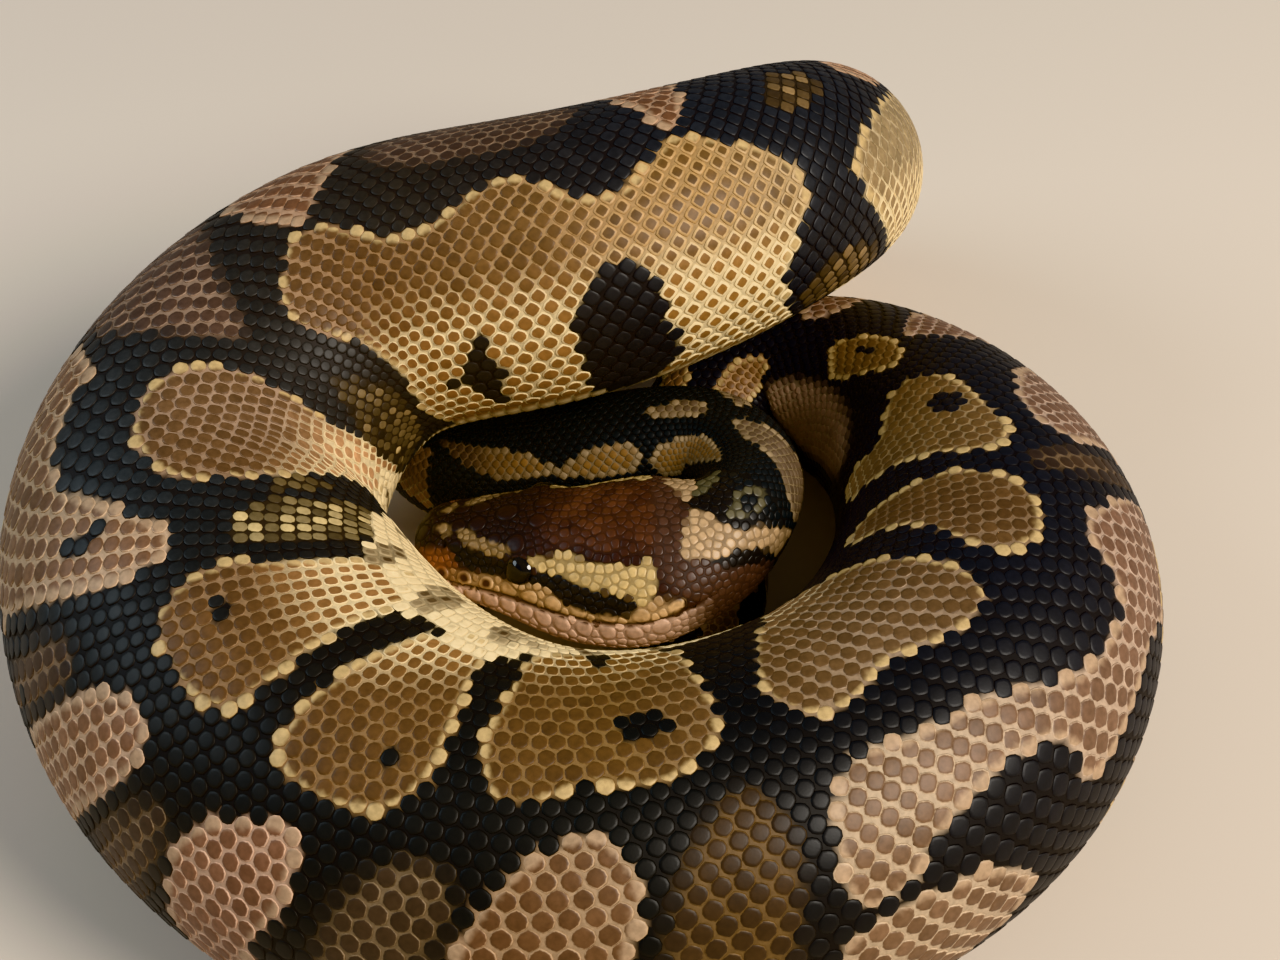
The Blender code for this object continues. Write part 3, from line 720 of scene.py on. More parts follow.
def marked_place(s):
    """The distance from the snout whose markings are shown at s."""
    shown = s.copy()
    for start, end, source, stretch in COPIED_MARKINGS:
        here = (s > start) & (s < end)
        shown[here] = source + (s[here] - start) / stretch
    return shown


def blotch_depths(s, q):
    """Distances in mm inside the edge of a blotch on the flanks, and of one on the back."""
    shown = marked_place(s)
    return np.stack([on_flanks(FLANK_BLOTCHES, shown, q), deepest(BACK_BLOTCHES, shown, q)])


def with_pale_rims(colours, s, q, x, y, stretch):
    """Scale colours, one row a scale, laid out over its points (x, y), pale beside the edge of a blotch."""
    depths = blotch_depths(s, q)
    slopes_x = (blotch_depths(s + 0.5, q) - depths) / (0.5 * stretch)
    slopes_y = (blotch_depths(s, q + 2) - depths) / (2 * mm_a_degree(s, q))
    marked = (colours.max(axis=1) > 4 * BLACK_SCALE.max()) & (s > RIM_START)
    colours = np.repeat(colours, x.shape[1], axis=0)
    for depth, slope_x, slope_y, (tone, strength) in zip(depths, slopes_x, slopes_y, RIMS):
        rim = smooth((RIM_WIDTH - depth[:, None] - slope_x[:, None] * x - slope_y[:, None] * y) / 0.8)
        colours = mixed(colours, tone, (strength * rim * ((depth > 0) & marked)[:, None]).ravel())
    return colours


def paint_belly(layers, s, q, chance):
    """Lay the cream of the belly with its dark smudges over the colours, beyond a wavy edge on the flanks."""
    front = window(s, *FRONT) * (q > 0)
    edge = BELLY_EDGE + 3 * waves(s, q * 0, 11, 20)
    edge += sum(shift * window(s, *length) for shift, length in BELLY_SHIFTS) * (q > 0)
    edge -= BELLY_BEND[0] * window(s, *BELLY_BEND[1])
    smudge = smooth((waves(s, q, 21, 11) - 0.35) / 0.4) * smooth((158 - np.abs(q)) / 14) * (1 - front)
    smudge = np.maximum(smudge, in_spots(BELLY_SPOTS, s, q) * (0.6 + 0.4 * chance))
    lay(layers, smooth((np.abs(q) - edge) / 3) > 0.5,
        mixed(BELLY_SCALE, BELLY_SMUDGE, smudge), mixed(BELLY_NET, BELLY_SMUDGE, smudge * 0.8), 0.6)


def paint_neck(layers, s, q):
    """Lay the neck's pale and golden marks over the colours."""
    neck = (s > NECK_LENGTH[0]) & (s < NECK_LENGTH[1])
    depth = deepest(NECK_PALE, s, q)
    lay(layers, neck & (depth > 0), mixed(NECK_CREAM, NECK_RIM, smooth((0.9 - depth) / 0.6)), NECK_RIM)
    depth = deepest(NECK_GOLD, s, q)
    fade = smooth((s - 122) / 12)
    gold = mixed(NECK_GOLD_SCALE, NECK_RIM, smooth((1.6 - depth) / 1.2) * (1 - 0.6 * fade))
    lay(layers, neck & (depth > 0), mixed(gold, DIM_SCALE, fade), mixed(NECK_RIM, DIM_NET, fade))


def paint(s, q):
    """Scale colour, net colour and the share of a scale that keeps its own colour, anywhere on the body."""
    s, q = np.ravel(s).astype(float), half_turn(np.ravel(q))
    shown = marked_place(s)
    chance = np.random.default_rng(5).random(len(s))
    # The black, dim, back and speckled colours carry painted light, shade and sheen along the body as well as
    # their own tint.
    plain = tinted_and_lit(BLACK_SCALE, BLACK_TINT_AND_LIGHT, s), tinted_and_lit(BLACK_NET, BLACK_TINT_AND_LIGHT, s), BLACK_CORE
    dim = smooth((deepest(DIM_PATCHES, shown, q) + 1.5) / 4)
    layers = [mixed(plain[0], tinted_and_lit(DIM_SCALE, DIM_TINT_AND_LIGHT, s), dim),
              mixed(plain[1], tinted_and_lit(DIM_NET, DIM_TINT_AND_LIGHT, s), dim), np.full(s.shape, BLACK_CORE)]
    lay(layers, deepest(BACK_BLOTCHES, shown, q) > 0,
        tinted_and_lit(BACK_SCALE, BACK_TINT_AND_LIGHT, s), tinted_and_lit(BACK_NET, BACK_TINT_AND_LIGHT, s), 0.90)
    paint_flank(layers, deepest(FLANK_BLOTCHES, shown, q), shown, q)
    paint_flank(layers, deepest(FLANK_BLOTCHES, shown - LEFT_OFFSET, -q), shown - LEFT_OFFSET, q)
    depth = on_flanks(SPECKLED_PATCHES, shown, q)
    speckle = mixed(SPECK_DARK, SPECK_PALE, chance ** 1.3 * smooth(0.3 + depth / 4))
    lay(layers, depth > 0, tinted_and_lit(speckle, SPECK_TINT_AND_LIGHT, s), SPECK_DARK)
    lay(layers, in_spots(DARK_SPOTS, shown, q) | in_spots(DARK_SPOTS, shown - LEFT_OFFSET, -q), *plain)
    paint_belly(layers, s, q, chance)
    lay(layers, on_flanks(DARK_PATCHES, shown, q) > 0, *plain)
    paint_neck(layers, s, q)

    head = s < HEAD_COLOURS_END
    if head.any():
        pale = smooth((depth_in(HEAD_CREAM[-1], s[head], np.abs(q[head])) + 0.25) / 0.5)
        share = np.maximum(smooth((HEAD_END - s[head]) / 4), pale)
        for layer, value in zip(layers, paint_head(s[head], q[head])):
            part = share.reshape(-1, *[1] * (layer.ndim - 1))
            layer[head] = layer[head] * (1 - part) + value * part
    grey = (s > 50) & (s < 65) & (deepest(NECK_GREY_MARKS, s, q) > 0)
    lay(layers, grey, NECK_GREY, NECK_GREY * 0.7)
    lay(layers, in_spots(NECK_SPOTS, s, q), BLACK_SCALE, BLACK_NET)
    return layers


# ---- meshes -----------------------------------------------------------------------------------------
def placed(name, data, place=(0, 0, 0), turn=(0, 0, 0)):
    """A new object in the scene."""
    made = bpy.data.objects.new(name, data)
    made.location, made.rotation_euler = place, turn
    bpy.context.scene.collection.objects.link(made)
    return made


def mesh_object(name, points, groups, attributes, material, uv=None):
    """An object from points in mm, groups of faces with the same number of corners, and named attributes."""
    mesh = bpy.data.meshes.new(name)
    mesh.vertices.add(len(points))
    mesh.vertices.foreach_set("co", (np.asarray(points) * MM).astype(np.float32).ravel())
    corners = np.concatenate([np.asarray(group).ravel() for group in groups]).astype(np.int32)
    sides = np.concatenate([np.full(len(group), np.shape(group)[1]) for group in groups])
    mesh.loops.add(len(corners))
    mesh.loops.foreach_set("vertex_index", corners)
    mesh.polygons.add(len(sides))
    starts = np.concatenate([[0], np.cumsum(sides)[:-1]]).astype(np.int32)
    mesh.polygons.foreach_set("loop_start", starts)
    mesh.update(calc_edges=True)
    mesh.shade_smooth()
    for key, values in attributes.items():
        kind, field = ("FLOAT_COLOR", "color") if values.ndim == 2 else ("FLOAT", "value")
        if values.ndim == 2:
            values = np.concatenate([values, np.ones((len(values), 1))], axis=1)
        mesh.attributes.new(key, kind, "POINT").data.foreach_set(field, values.astype(np.float32).ravel())
    if uv is not None:
        mesh.uv_layers.new(name="OFBake").data.foreach_set("uv", uv[corners].astype(np.float32).ravel())
    mesh.materials.append(material)
    return placed(name, mesh)


def grid_faces(rows, columns, closed):
    """Quads of a grid of points, joined round if closed, facing out when q runs round the right side."""
    i = np.arange(rows - 1)[:, None]
    j = np.arange(columns if closed else columns - 1)[None]
    k = (j + 1) % columns
    quads = np.stack(np.broadcast_arrays(i * columns + j, i * columns + k, (i + 1) * columns + k,
                                         (i + 1) * columns + j), axis=-1)
    return quads.reshape(-1, 4)[:, ::-1]


def with_relief(s, q, points, out):
    near = s < RELIEF_END
    lift = np.where(near, relief(np.where(near, s, 0), half_turn(q)), 0)
    return points + out * lift[..., None]


def head_rows():
    """Where the skin has rows of points on the head, closer together than on the body."""
    return np.arange(SKIN_DEPTH + 0.02, HEAD_END + 5, HEAD_SKIN_STEP)


def make_skin(material):
    head = head_rows()
    s = np.concatenate([head, np.arange(head[-1] + SKIN_STEP, BODY.length - SKIN_DEPTH - 0.05, SKIN_STEP)])
    ss, qq = np.meshgrid(s, np.arange(SKIN_SIDES) * 360 / SKIN_SIDES - 180, indexing="ij")
    qq = qq + BODY.lean(s)[:, None]            # rows of points stay level, so that the belly's flat is clean
    points, _, _, out, _ = BODY.patch(ss, qq)
    points = with_relief(ss, qq, points, out)
    points[..., 2] = np.maximum(points[..., 2], FLOOR_GAP)
    front = np.arange(SKIN_SIDES)[None]
    faces = [grid_faces(len(s), SKIN_SIDES, True), front, (len(s) - 1) * SKIN_SIDES + front[:, ::-1]]
    return mesh_object("skin", points.reshape(-1, 3), faces, {"net": paint(ss, qq)[1]}, material)


def even_turns(sides):
    """Angles of so many directions all round."""
    return 2 * math.pi * np.arange(sides) / sides


def cell_outline(pitch, gap):
    """Reach of a scale in each direction: halfway to its neighbours in its own row and the rows beside it."""
    turn = even_turns(SCALE_SIDES)
    beside = np.arctan2(gap, pitch / 2)
    near, far = pitch / 2, np.hypot(pitch / 2, gap) / 2
    total = 0
    for way, half in ((0 * beside, near), (0 * beside + math.pi, near), (beside, far), (-beside, far),
                      (math.pi - beside, far), (math.pi + beside, far)):
        total = total + (np.clip(np.cos(turn - way[:, None]), 0, None) / half[:, None]) ** SCALE_POWER
    return turn, total ** (-1 / SCALE_POWER)


def spread(rings, reach, turn, middle=1.0):
    """The points of scales, a middle and rings round it: x, y, share of the reach and share of the height."""
    share, high = (np.repeat([first] + [ring[k] for ring in rings], [1] + [len(turn)] * len(rings))
                   for k, first in enumerate((0, middle)))
    centre = np.zeros((len(reach), 1))
    x, y = (np.concatenate([centre] + [ring[0] * reach * way for ring in rings], axis=1)
            for way in (np.cos(turn), np.sin(turn)))
    return x, y, share, high


def fan_and_quads(sides, rings):
    """Faces between a middle point and the rings of points round it."""
    fan = [(0, 1 + j, 1 + (j + 1) % sides) for j in range(sides)]
    quads = [(1 + i * sides + j, 1 + (i + 1) * sides + j, 1 + (i + 1) * sides + (j + 1) % sides,
              1 + i * sides + (j + 1) % sides) for i in range(rings - 1) for j in range(sides)]
    return np.array(fan), np.array(quads)


def repeated(faces, count, size):
    """The faces of one scale for each of so many scales, of so many points each."""
    return (faces[None] + (np.arange(count) * size)[:, None, None]).reshape(-1, faces.shape[1])


def scales_object(name, points, sides, attributes, uv, material):
    """A closed mesh of scales, from the points of each: a middle and rings of so many sides round it."""
    count, size = points.shape[:2]
    bottom = size - sides + np.arange(sides)[None, ::-1]
    faces = [repeated(part, count, size) for part in (*fan_and_quads(sides, size // sides), bottom)]
    return mesh_object(name, points.reshape(-1, 3), faces, attributes, material, uv.reshape(-1, 2))


def belly_edge(s, side):
    """Angle where the scales end and the belly plates begin: further round where the coil is raised."""
    return SCALE_EDGE + EXTRA_EDGE * window(s, *RAISED) * (side > 0)


def scale_cells(start, end, rows):
    """The cells of a stretch: s, q, degrees to the next row, pitch, and how many cells a scale takes."""
    first, second, third = ROW_SPREAD
    cells = []
    for row in range(-rows, rows + 1 + EXTRA_ROWS):
        share = abs(row) / rows
        angle = math.copysign(SCALE_EDGE * share * (first + second * share + third * share ** 2), row)
        slope = SCALE_EDGE / rows * (first + 2 * second * share + 3 * third * share ** 2)
        cells += [(count + 0.5 * (row % 2), angle, slope) for count in BODY.whole_cells(start, end)]
    count, q, gap = np.array(cells).T
    s, pitch = BODY.cell(count)
    step = np.exp2(np.clip(np.floor(np.log2(THINNED / BODY.patch(s, q)[4])) + 1, 0, 3))
    odd = (count % 1 > 0.25) * step / 2
    kept = ((np.floor(count) + np.floor(odd)) % step == 0) & (np.abs(q) < belly_edge(s, q) + 1)
    return [column[kept] for column in (s, q, gap, pitch, step)]


def make_scales(name, start, end, rows, material, seed):
    """The scales of one stretch of body, between the belly plates of both sides."""
    rng = np.random.default_rng(seed)
    s, q, gap, pitch, step = scale_cells(start, end, rows)
    s = np.clip(s + rng.normal(0, PLACE_NOISE, len(s)) * pitch, 1, BODY.length - 1)
    q = q + rng.normal(0, PLACE_NOISE, len(s)) * gap
    point, tailward, roundward, out, stretch = BODY.patch(s, q)
    across = np.cross(out, tailward)
    scale, net, core = paint(s, q)
    scale = scale * rng.uniform(*SHADES, (len(s), 1)) * (1 + 0.1 * waves(s, q, 31, 9)[:, None])
    core = np.clip(core + rng.normal(0, 0.03, len(s)), 0.3, 0.95)

    cell = pitch * np.clip(stretch * step, 0.3, 1.7)
    gap = gap * mm_a_degree(s, q) * np.clip(np.abs((across * roundward).sum(axis=-1)), 0.5, 1)
    turn, reach = cell_outline(cell, gap)
    reach = reach * SCALE_FILL * rng.uniform(0.96, 1.02, (len(s), 1))
    thick = SCALE_THICKNESS * np.minimum(pitch, cell)
    tilt = SCALE_TILT + 0.10 * np.clip(1 - stretch, 0, 0.5) + rng.normal(0, 0.008, len(s))
    x, y, share, high = spread(BIG_RINGS if pitch.mean() > 2.3 else SMALL_RINGS, reach, turn)
    lift = thick[:, None] * high + tilt[:, None] * x - (y * y) / (2 * BODY.radius(s)[:, None])
    points = with_relief(s, q, point, out)[:, None] + tailward[:, None] * x[..., None] \
        + across[:, None] * y[..., None] + out[:, None] * lift[..., None]
    points[..., 2] = np.maximum(points[..., 2], SCALE_FLOOR_GAP)
    root = np.stack([(s - s.min()) / np.ptp(s), q / 360 + 0.5], axis=-1) * 0.98 + 0.01
    size = len(share)
    attributes = {"scale": with_pale_rims(scale, s, q, x, y, stretch), "net": np.repeat(net, size, axis=0),
                  "core": np.repeat(core, size), "reach": np.tile(share, len(s))}
    return scales_object(name, points, SCALE_SIDES, attributes,
                         root[:, None] + 0.001 * np.stack([x, y], axis=-1), material)


def make_belly(name, start, end, material):
    """The broad plates across the belly of one stretch, each lying over the one behind it."""
    place, pitch = BODY.cell(BODY.whole_cells(start, end))
    along, lift, reach = np.array(BELLY_PROFILE).T
    a, b = np.meshgrid(along, np.linspace(-1, 1, BELLY_POINTS), indexing="ij")
    first = belly_edge(place, 1)
    half = (360 - SCALE_EDGE + 2 - first) / 2
    s = place[:, None, None] + pitch[:, None, None] * (a - BELLY_CURVE * np.abs(b) ** 4)
    s = np.clip(s, 1, BODY.length - 1)
    q = (first - 1 + half)[:, None, None] + half[:, None, None] * b[None] + 0 * s
    point, _, _, out, _ = BODY.patch(s, q)
    rise = lift[:, None] * (1 - 0.6 * np.abs(b) ** 6)
    points = point + out * (rise * (BELLY_THICKNESS * pitch)[:, None, None])[..., None]
    points[..., 2] = np.maximum(points[..., 2], SCALE_FLOOR_GAP)
    number, size = len(place), a.size
    scale, net = (np.repeat(tone.reshape(number, 1, BELLY_POINTS, 3), len(along), axis=1).reshape(-1, 3)
                  for tone in paint(np.repeat(place, BELLY_POINTS), q[:, 0].ravel())[:2])
    attributes = {"scale": scale, "net": net, "core": np.full(number * size, 0.8),
                  "reach": np.tile(np.repeat(reach, BELLY_POINTS), number)}
    root = np.stack([(place - start) / (end - start) * 0.98 + 0.01, np.full(number, 0.99)], axis=-1)
    uv = root[:, None, None] + PATCH_SIZE * np.stack([a, b], axis=-1)[None]
    faces = repeated(grid_faces(len(along), BELLY_POINTS, False), number, size)
    return mesh_object(name, points.reshape(-1, 3), [faces], attributes, material, uv.reshape(-1, 2))


# ---- the head's scales ------------------------------------------------------------------------------
def head_plates():
    """The named plates, lips, eye rings and openings of the head, as rows of s, q, radius and kind."""
    rows = []
    for side in (-1, 1):
        rows += [(s, side * q, radius, SCALE) for s, q, radius in HEAD_PLATES]
        for labials, offset, kind in ((UPPER_LABIALS, -LABIAL_PLACES[0], UPPER),
                                      (LOWER_LABIALS, LABIAL_PLACES[1], LOWER)):
            s = np.linspace(*labials)
            mouth = BODY.mouth_angle(s)
            place = side * (mouth + offset / mm_a_degree(s, mouth))
            rows += [(a, b, LABIAL_RADIUS, kind) for a, b in zip(s, place)]
        rows.append((NOSTRIL_PLACE[0], side * NOSTRIL_PLACE[1], NOSTRIL_OPENING, OPENING))
        rows.append((EYE_PLACE[0], side * EYE_PLACE[1], EYE_OPENING, OPENING))
        degree = mm_a_degree(*EYE_PLACE)
        away = EYE_OPENING + EYE_RING_RADIUS
        for k in range(EYE_RING):
            turn = 2 * math.pi * (k + 0.5) / EYE_RING
            rows.append((EYE_PLACE[0] + away * math.cos(turn),
                         side * (EYE_PLACE[1] + away * math.sin(turn) / degree), EYE_RING_RADIUS, SCALE))
    return rows + [(s, q, radius, SCALE) for s, q, radius in MIDDLE_PLATES]


def small_radius(s, q):
    """Radius of the head's small scales: finest on the snout, largest under the throat."""
    return 0.56 + 0.19 * smooth((s - 8) / 26) + 0.09 * smooth((np.abs(q) - 95) / 20)


def head_seeds():
    """The named plates, and small scales strewn between them and pushed apart until they lie evenly."""
    seeds = np.array(head_plates(), float)
    fixed = used = len(seeds)
    rng = np.random.default_rng(7)
    limits = (2.2, HEAD_END + 1), (-180, 180)
    tries = np.stack([rng.uniform(low, high, HEAD_TRIES) for low, high in limits], axis=-1)
    radii = small_radius(tries[:, 0], tries[:, 1])
    tried = BODY.surface(tries[:, 0], tries[:, 1])
    places = np.concatenate([BODY.surface(seeds[:, 0], seeds[:, 1]), np.zeros((HEAD_TRIES, 3))])
    sizes = np.concatenate([seeds[:, 2], np.zeros(HEAD_TRIES)])
    kept = []
    for k in range(HEAD_TRIES):
        apart = np.linalg.norm(places[:used] - tried[k], axis=1)
        if (apart > CLOSEST * (sizes[:used] + radii[k])).all():
            places[used], sizes[used] = tried[k], radii[k]
            used += 1
            kept.append((*tries[k], radii[k], SCALE))
    seeds = np.concatenate([seeds, np.array(kept)])
    for _ in range(PUSHES):
        point, tailward, roundward, _, stretch = BODY.patch(seeds[:, 0], seeds[:, 1])
        degree = mm_a_degree(seeds[:, 0], seeds[:, 1])
        apart = point[:, None] - point[None]
        distance = np.linalg.norm(apart, axis=-1) + 1e-6
        wanted = PUSH_REACH * (seeds[:, 2][:, None] + seeds[:, 2][None])
        push = np.clip(wanted - distance, 0, None) * (distance > 1e-3)
        move = (apart / distance[..., None] * push[..., None]).sum(axis=1) * PUSH_SHARE
        move[:fixed] = 0
        seeds[:, 0] += (move * tailward).sum(axis=1) / stretch
        seeds[:, 1] += (move * roundward).sum(axis=1) / degree
        seeds[:, 0] = np.clip(seeds[:, 0], 1.0, HEAD_END + 1)
    return seeds


def cell_reach(points, radii, kinds, axes, directions):
    """How far each scale reaches in each direction before it meets a neighbour."""
    reach = np.zeros((len(points), len(directions)))
    for i, point in enumerate(points):
        apart = points - point
        distance = np.linalg.norm(apart, axis=1)
        near = (distance > 1e-6) & (distance < 2.2 * (radii[i] + radii))
        lips = (kinds[near] + kinds[i] == UPPER + LOWER) & (kinds[near] != kinds[i])
        gap = np.where(lips, MOUTH_GAP, HEAD_GAP)
        middle = np.maximum(distance[near] * radii[i] / (radii[i] + radii[near]) - gap / 2, 0.1)
        flat = apart[near] @ axes[i].T
        flat = flat / np.maximum(np.linalg.norm(flat, axis=1, keepdims=True), 1e-6)
        facing = np.clip(flat @ directions.T, 0, None) / middle[:, None]
        total = (facing ** HEAD_POWER).sum(axis=0) + (1 / (HEAD_REACH * radii[i])) ** HEAD_POWER
        reach[i] = total ** (-1 / HEAD_POWER)
    return reach


def skin_surface(skin):
    """The skin of the head, in mm, to lay points on."""
    corners = np.zeros(3 * len(skin.data.vertices))
    skin.data.vertices.foreach_get("co", corners)
    rows = len(head_rows())
    corners = corners.reshape(-1, 3)[:rows * SKIN_SIDES] / MM
    return BVHTree.FromPolygons(corners.tolist(), grid_faces(rows, SKIN_SIDES, True).tolist())


def make_head_scales(skin, material):
    """Uneven scales, each laid on the skin and ending where it meets its neighbours."""
    s, q, radii, kinds = head_seeds().T
    point, tailward, _, out, stretch = BODY.patch(s, q)
    point = with_relief(s, q, point, out)
    axes = np.stack([tailward, np.cross(out, tailward)], axis=1)
    turn = even_turns(HEAD_SCALE_SIDES)
    reach = cell_reach(point, radii, kinds, axes, np.stack([np.cos(turn), np.sin(turn)], axis=-1))
    surface = skin_surface(skin)
    degree = mm_a_degree(s, q)
    shades = np.random.default_rng(8).uniform(*HEAD_SHADES, len(s))
    rows = []
    for i in np.flatnonzero(kinds != OPENING):
        pit = kinds[i] == UPPER and s[i] < PIT_END
        rings = PIT_RINGS if pit else HEAD_RINGS
        (x,), (y,), share, high = spread(rings, reach[i:i + 1], turn, rings[0][1] if pit else 1.0)
        flat = point[i] + x[:, None] * axes[i, 0] + y[:, None] * axes[i, 1]
        laid = np.array([surface.find_nearest(place)[0] for place in flat])
        thick = HEAD_THICKNESS[0] + HEAD_THICKNESS[1] * radii[i]
        rise = high * thick + HEAD_TILT * smooth((s[i] - 22) / 20) * x
        painted = radii[i] >= PAINTED_RADIUS
        root = s[i] / (HEAD_END + 4), (q[i] + 180) % 360 / 360 * 0.98 + 0.01
        rows.append((laid + out[i] * rise[:, None],
                     s[i] + painted * x / stretch[i], q[i] + painted * y / degree[i],
                     share, pit & (share < 0.5), shades[i] + 0 * x,
                     root + PATCH_SIZE * np.stack([x, y], axis=-1)))
    points, at_s, at_q, share, pits, shade, uv = (np.array(column) for column in zip(*rows))
    scale, net, core = paint(at_s, at_q)
    scale = scale * shade.reshape(-1, 1)
    # The hollow middle of each heat pit is painted dark brown, as painted shade.
    scale[pits.ravel()] = PIT_HOLLOW_SHADE
    attributes = {"scale": scale, "net": net, "core": core, "reach": share.ravel()}
    return scales_object("scales_head", points, HEAD_SCALE_SIDES, attributes, uv, material)


# ---- eyes -------------------------------------------------------------------------------------------
def make_eye(node, side, material):
    """A clear-coated ball, whose pole looks out, with its pupil and iris told by the angle from the pole."""
    low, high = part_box(node)
    centre = np.array((low + high) / 2) / MM
    out = BODY.patch(EYE_PLACE[0], side * EYE_PLACE[1])[3]
    ahead = unit(np.cross(out, np.cross((1.0, 0.0, 0.0), out)))
    tilt = np.linspace(0, math.pi, EYE_RINGS + 2)[1:-1]
    turn = even_turns(EYE_SIDES)[None, :, None]
    ball = np.cos(tilt)[:, None, None] * out + np.sin(tilt)[:, None, None] * (
        np.cos(turn) * ahead + np.sin(turn) * np.cross(out, ahead))
    points = centre + EYE_RADIUS * np.concatenate([[out], ball.reshape(-1, 3), [-out]])
    front, quads = fan_and_quads(EYE_SIDES, EYE_RINGS)
    last = 1 + (EYE_RINGS - 1) * EYE_SIDES + np.arange(EYE_SIDES)
    back = np.stack([np.full(EYE_SIDES, len(points) - 1), np.roll(last, -1), last], axis=-1)
    angle = np.degrees(np.concatenate([[0], np.repeat(tilt, EYE_SIDES), [math.pi]]))
    faces = [front, back, quads]
    made = mesh_object(node.replace("eye", "eyeball"), points, faces, {"angle": angle}, material)
    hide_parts(node)
    return made


# ---- materials --------------------------------------------------------------------------------------
class Nodes:
    """A material's node tree, built a node at a time."""

    def __init__(self, name):
        self.material = bpy.data.materials.new(name)
        self.material.use_nodes = True
        self.tree = self.material.node_tree

    def add(self, kind, inputs, **settings):
        node = self.tree.nodes.new("ShaderNode" + kind)
        for key, value in settings.items():
            setattr(node, key, value)
        self.fill(node, inputs)
        return node

    def fill(self, node, inputs):
        """Link an input to another node's output, or give it a plain value."""
        for key, value in inputs.items():
            if hasattr(value, "links"):
                self.tree.links.new(value, node.inputs[key])
            else:
                node.inputs[key].default_value = value

    def read(self, name, output="Color"):
        return self.add("Attribute", {}, attribute_name=name).outputs[output]

    def noise(self, scale, detail=3.0):
        place = self.add("TexCoord", {}).outputs["Object"]
        return self.add("TexNoise", {"Vector": place, "Scale": scale, "Detail": detail}).outputs["Fac"]

    def remap(self, value, low, high, to_low, to_high, shape="LINEAR"):
        return self.add("MapRange", {"Value": value, 1: low, 2: high, 3: to_low, 4: to_high},
                        interpolation_type=shape).outputs["Result"]

    def calculated(self, operation, a, b):
        return self.add("Math", {0: a, 1: b}, operation=operation).outputs[0]

    def mix(self, share, a, b, blend="MIX"):
        return self.add("Mix", {"Factor": share, 6: a, 7: b}, data_type="RGBA", blend_type=blend).outputs[2]

    def darkened(self, base, value):
        grey = self.add("CombineColor", {0: value, 1: value, 2: value}).outputs[0]
        return self.mix(1.0, base, grey, "MULTIPLY")

    def bump(self, height, distance, strength):
        inputs = {"Height": height, "Distance": distance, "Strength": strength}
        return self.add("Bump", inputs).outputs["Normal"]

    def finish(self, base, roughness, **others):
        """Set the shader's inputs, named with underscores for spaces, and return the material."""
        inputs = {key.replace("_", " "): value for key, value in others.items()}
        self.fill(self.tree.nodes["Principled BSDF"], {"Base Color": base, "Roughness": roughness, **inputs})
        return self.material


def scale_material(name, roughness, sheen):
    """Scales: their own colour inside, the colour of the net between them at their rims."""
    nodes = Nodes(name)
    core = nodes.read("core", "Fac")
    ragged = nodes.remap(nodes.noise(1400.0), 0, 1, -0.11, 0.11)
    reach = nodes.calculated("ADD", nodes.read("reach", "Fac"), ragged)
    inner, outer = nodes.calculated("SUBTRACT", core, 0.07), nodes.calculated("ADD", core, 0.07)
    share = nodes.remap(reach, inner, outer, 0, 1, "SMOOTHSTEP")
    base = nodes.mix(share, nodes.read("scale"), nodes.read("net"))
    base = nodes.darkened(base, nodes.remap(nodes.noise(900.0, 4.0), 0.3, 0.7, 0.80, 1.14))
    return nodes.finish(base, roughness, Specular_IOR_Level=sheen,
                        Normal=nodes.bump(nodes.noise(2600.0, 2.0), 0.00002, 0.5))


def skin_material():
    nodes = Nodes("skin_between_scales")
    base = nodes.darkened(nodes.read("net"), nodes.remap(nodes.noise(1100.0), 0.3, 0.7, 0.62, 0.86))
    return nodes.finish(base, 0.6, Specular_IOR_Level=0.3,
                        Normal=nodes.bump(nodes.noise(2200.0), 0.00003, 0.6))


def eye_material():
    nodes = Nodes("eye")
    angle = nodes.read("angle", "Fac")
    iris = nodes.darkened((*IRIS, 1), nodes.remap(nodes.noise(1800.0, 4.0), 0.35, 0.65, 0.6, 1.3))
    past_pupil = nodes.remap(angle, PUPIL_ANGLE - 1, PUPIL_ANGLE + 1, 0, 1, "SMOOTHSTEP")
    past_iris = nodes.remap(angle, IRIS_ANGLE - 2, IRIS_ANGLE + 3, 0, 1, "SMOOTHSTEP")
    seen = nodes.mix(past_iris, nodes.mix(past_pupil, EYE_BLACK, iris), EYE_BLACK)
    return nodes.finish(seen, 0.1, Specular_IOR_Level=0.4, Coat_Weight=0.3, Coat_Roughness=0.05)


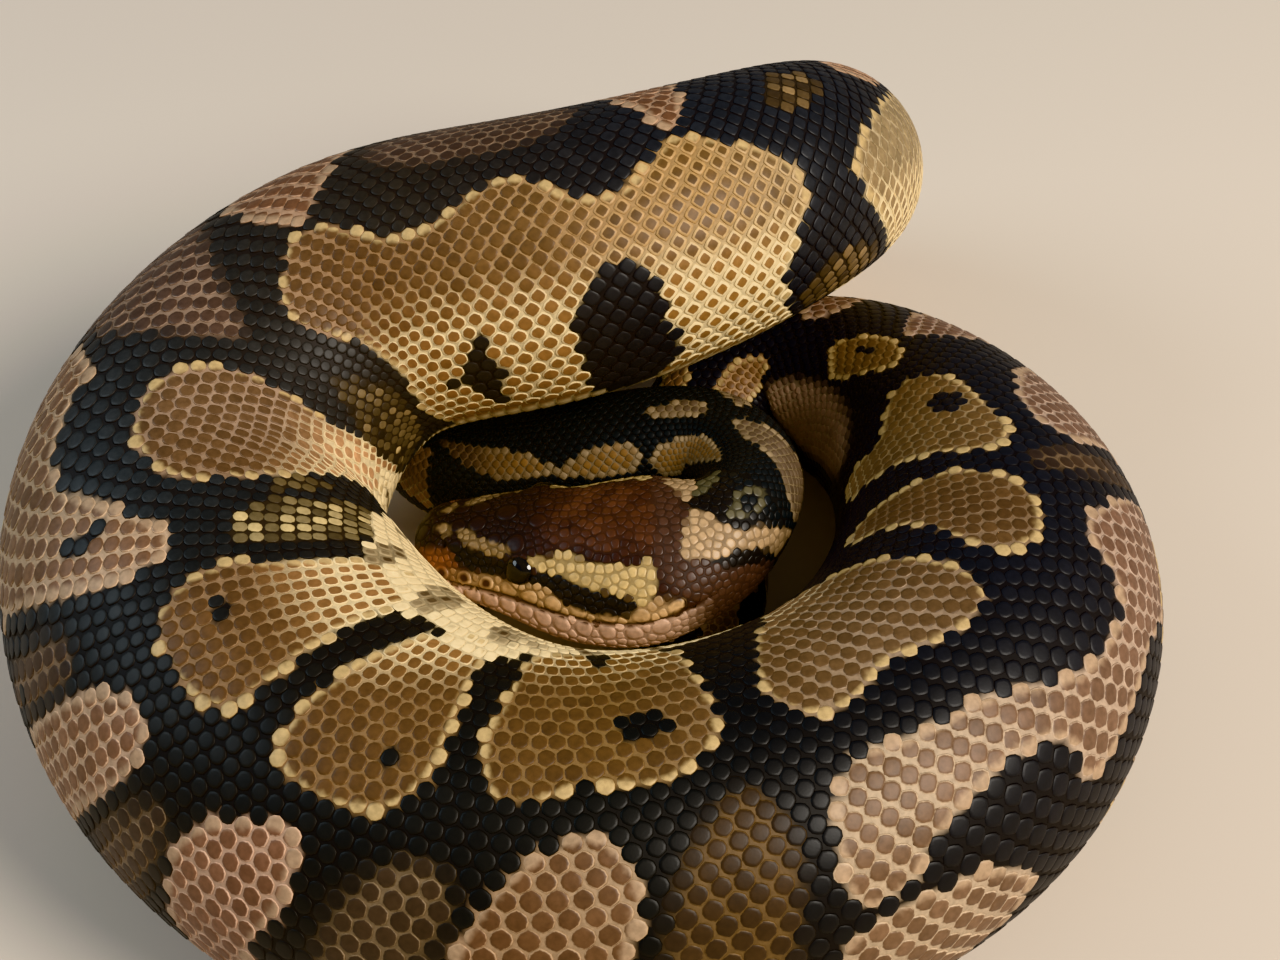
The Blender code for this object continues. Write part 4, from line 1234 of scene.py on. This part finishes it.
# ---- the studio -------------------------------------------------------------------------------------
def make_floor():
    mesh = bpy.data.meshes.new("floor")
    half = FLOOR_SIZE / 2
    corners = [(-half, -half, 0), (half, -half, 0), (half, half, 0), (-half, half, 0)]
    mesh.from_pydata(corners, [], [(0, 1, 2, 3)])
    mesh.materials.append(Nodes("pale_floor").finish((*FLOOR_COLOUR, 1), 0.85))
    floor = placed("floor", mesh, (0, 0, -0.0002))


def make_light(name, place, size, power, tint):
    lamp = bpy.data.lights.new(name, "AREA")
    lamp.shape = "DISK"
    lamp.size, lamp.energy, lamp.color = size, power, tint
    aim = Vector(LAMP_AIM) - Vector(place)
    placed(name, lamp, place, aim.to_track_quat("-Z", "Y").to_euler())


def make_world():
    world = bpy.data.worlds.new("world")
    bpy.context.scene.world = world
    world.use_nodes = True
    shade = world.node_tree.nodes["Background"]
    shade.inputs["Color"].default_value = WORLD_COLOUR
    shade.inputs["Strength"].default_value = WORLD_STRENGTH


def make_camera():
    camera = bpy.data.cameras.new("camera")
    camera.lens, camera.sensor_width = CAMERA_LENS, CAMERA_SENSOR
    camera.clip_start = 0.01
    back = Vector((0, -math.cos(CAMERA_HEIGHT), math.sin(CAMERA_HEIGHT)))
    bpy.context.scene.camera = placed("camera", camera, Vector(CAMERA_AIM) + back * CAMERA_DISTANCE,
                                      (math.pi / 2 - CAMERA_HEIGHT, 0, 0))


# ---- all of it --------------------------------------------------------------------------------------
bpy.context.scene.view_settings.view_transform = "Khronos PBR Neutral"
make_camera()
make_world()
make_floor()
for lamp in LAMPS:
    make_light(*lamp)

body_coat = scale_material("body_scales", 0.5, 0.32)
head_coat = scale_material("head_scales", 0.42, 0.4)
skin = make_skin(skin_material())
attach(skin, "root")
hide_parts(*[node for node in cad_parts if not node.startswith("eye")])
for number, (name, start, end, rows) in enumerate(STRETCHES):
    for piece in (make_scales("scales_" + name, start, end, rows, body_coat, 100 + number),
                  make_belly("belly_" + name, start, end, body_coat)):
        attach(piece, "root")
piece = make_head_scales(skin, head_coat)
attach(piece, "root")
eye_coat = eye_material()
for node, side in (("eye_left", -1), ("eye_right", 1)):
    piece = make_eye(node, side, eye_coat)
    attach(piece, "root")
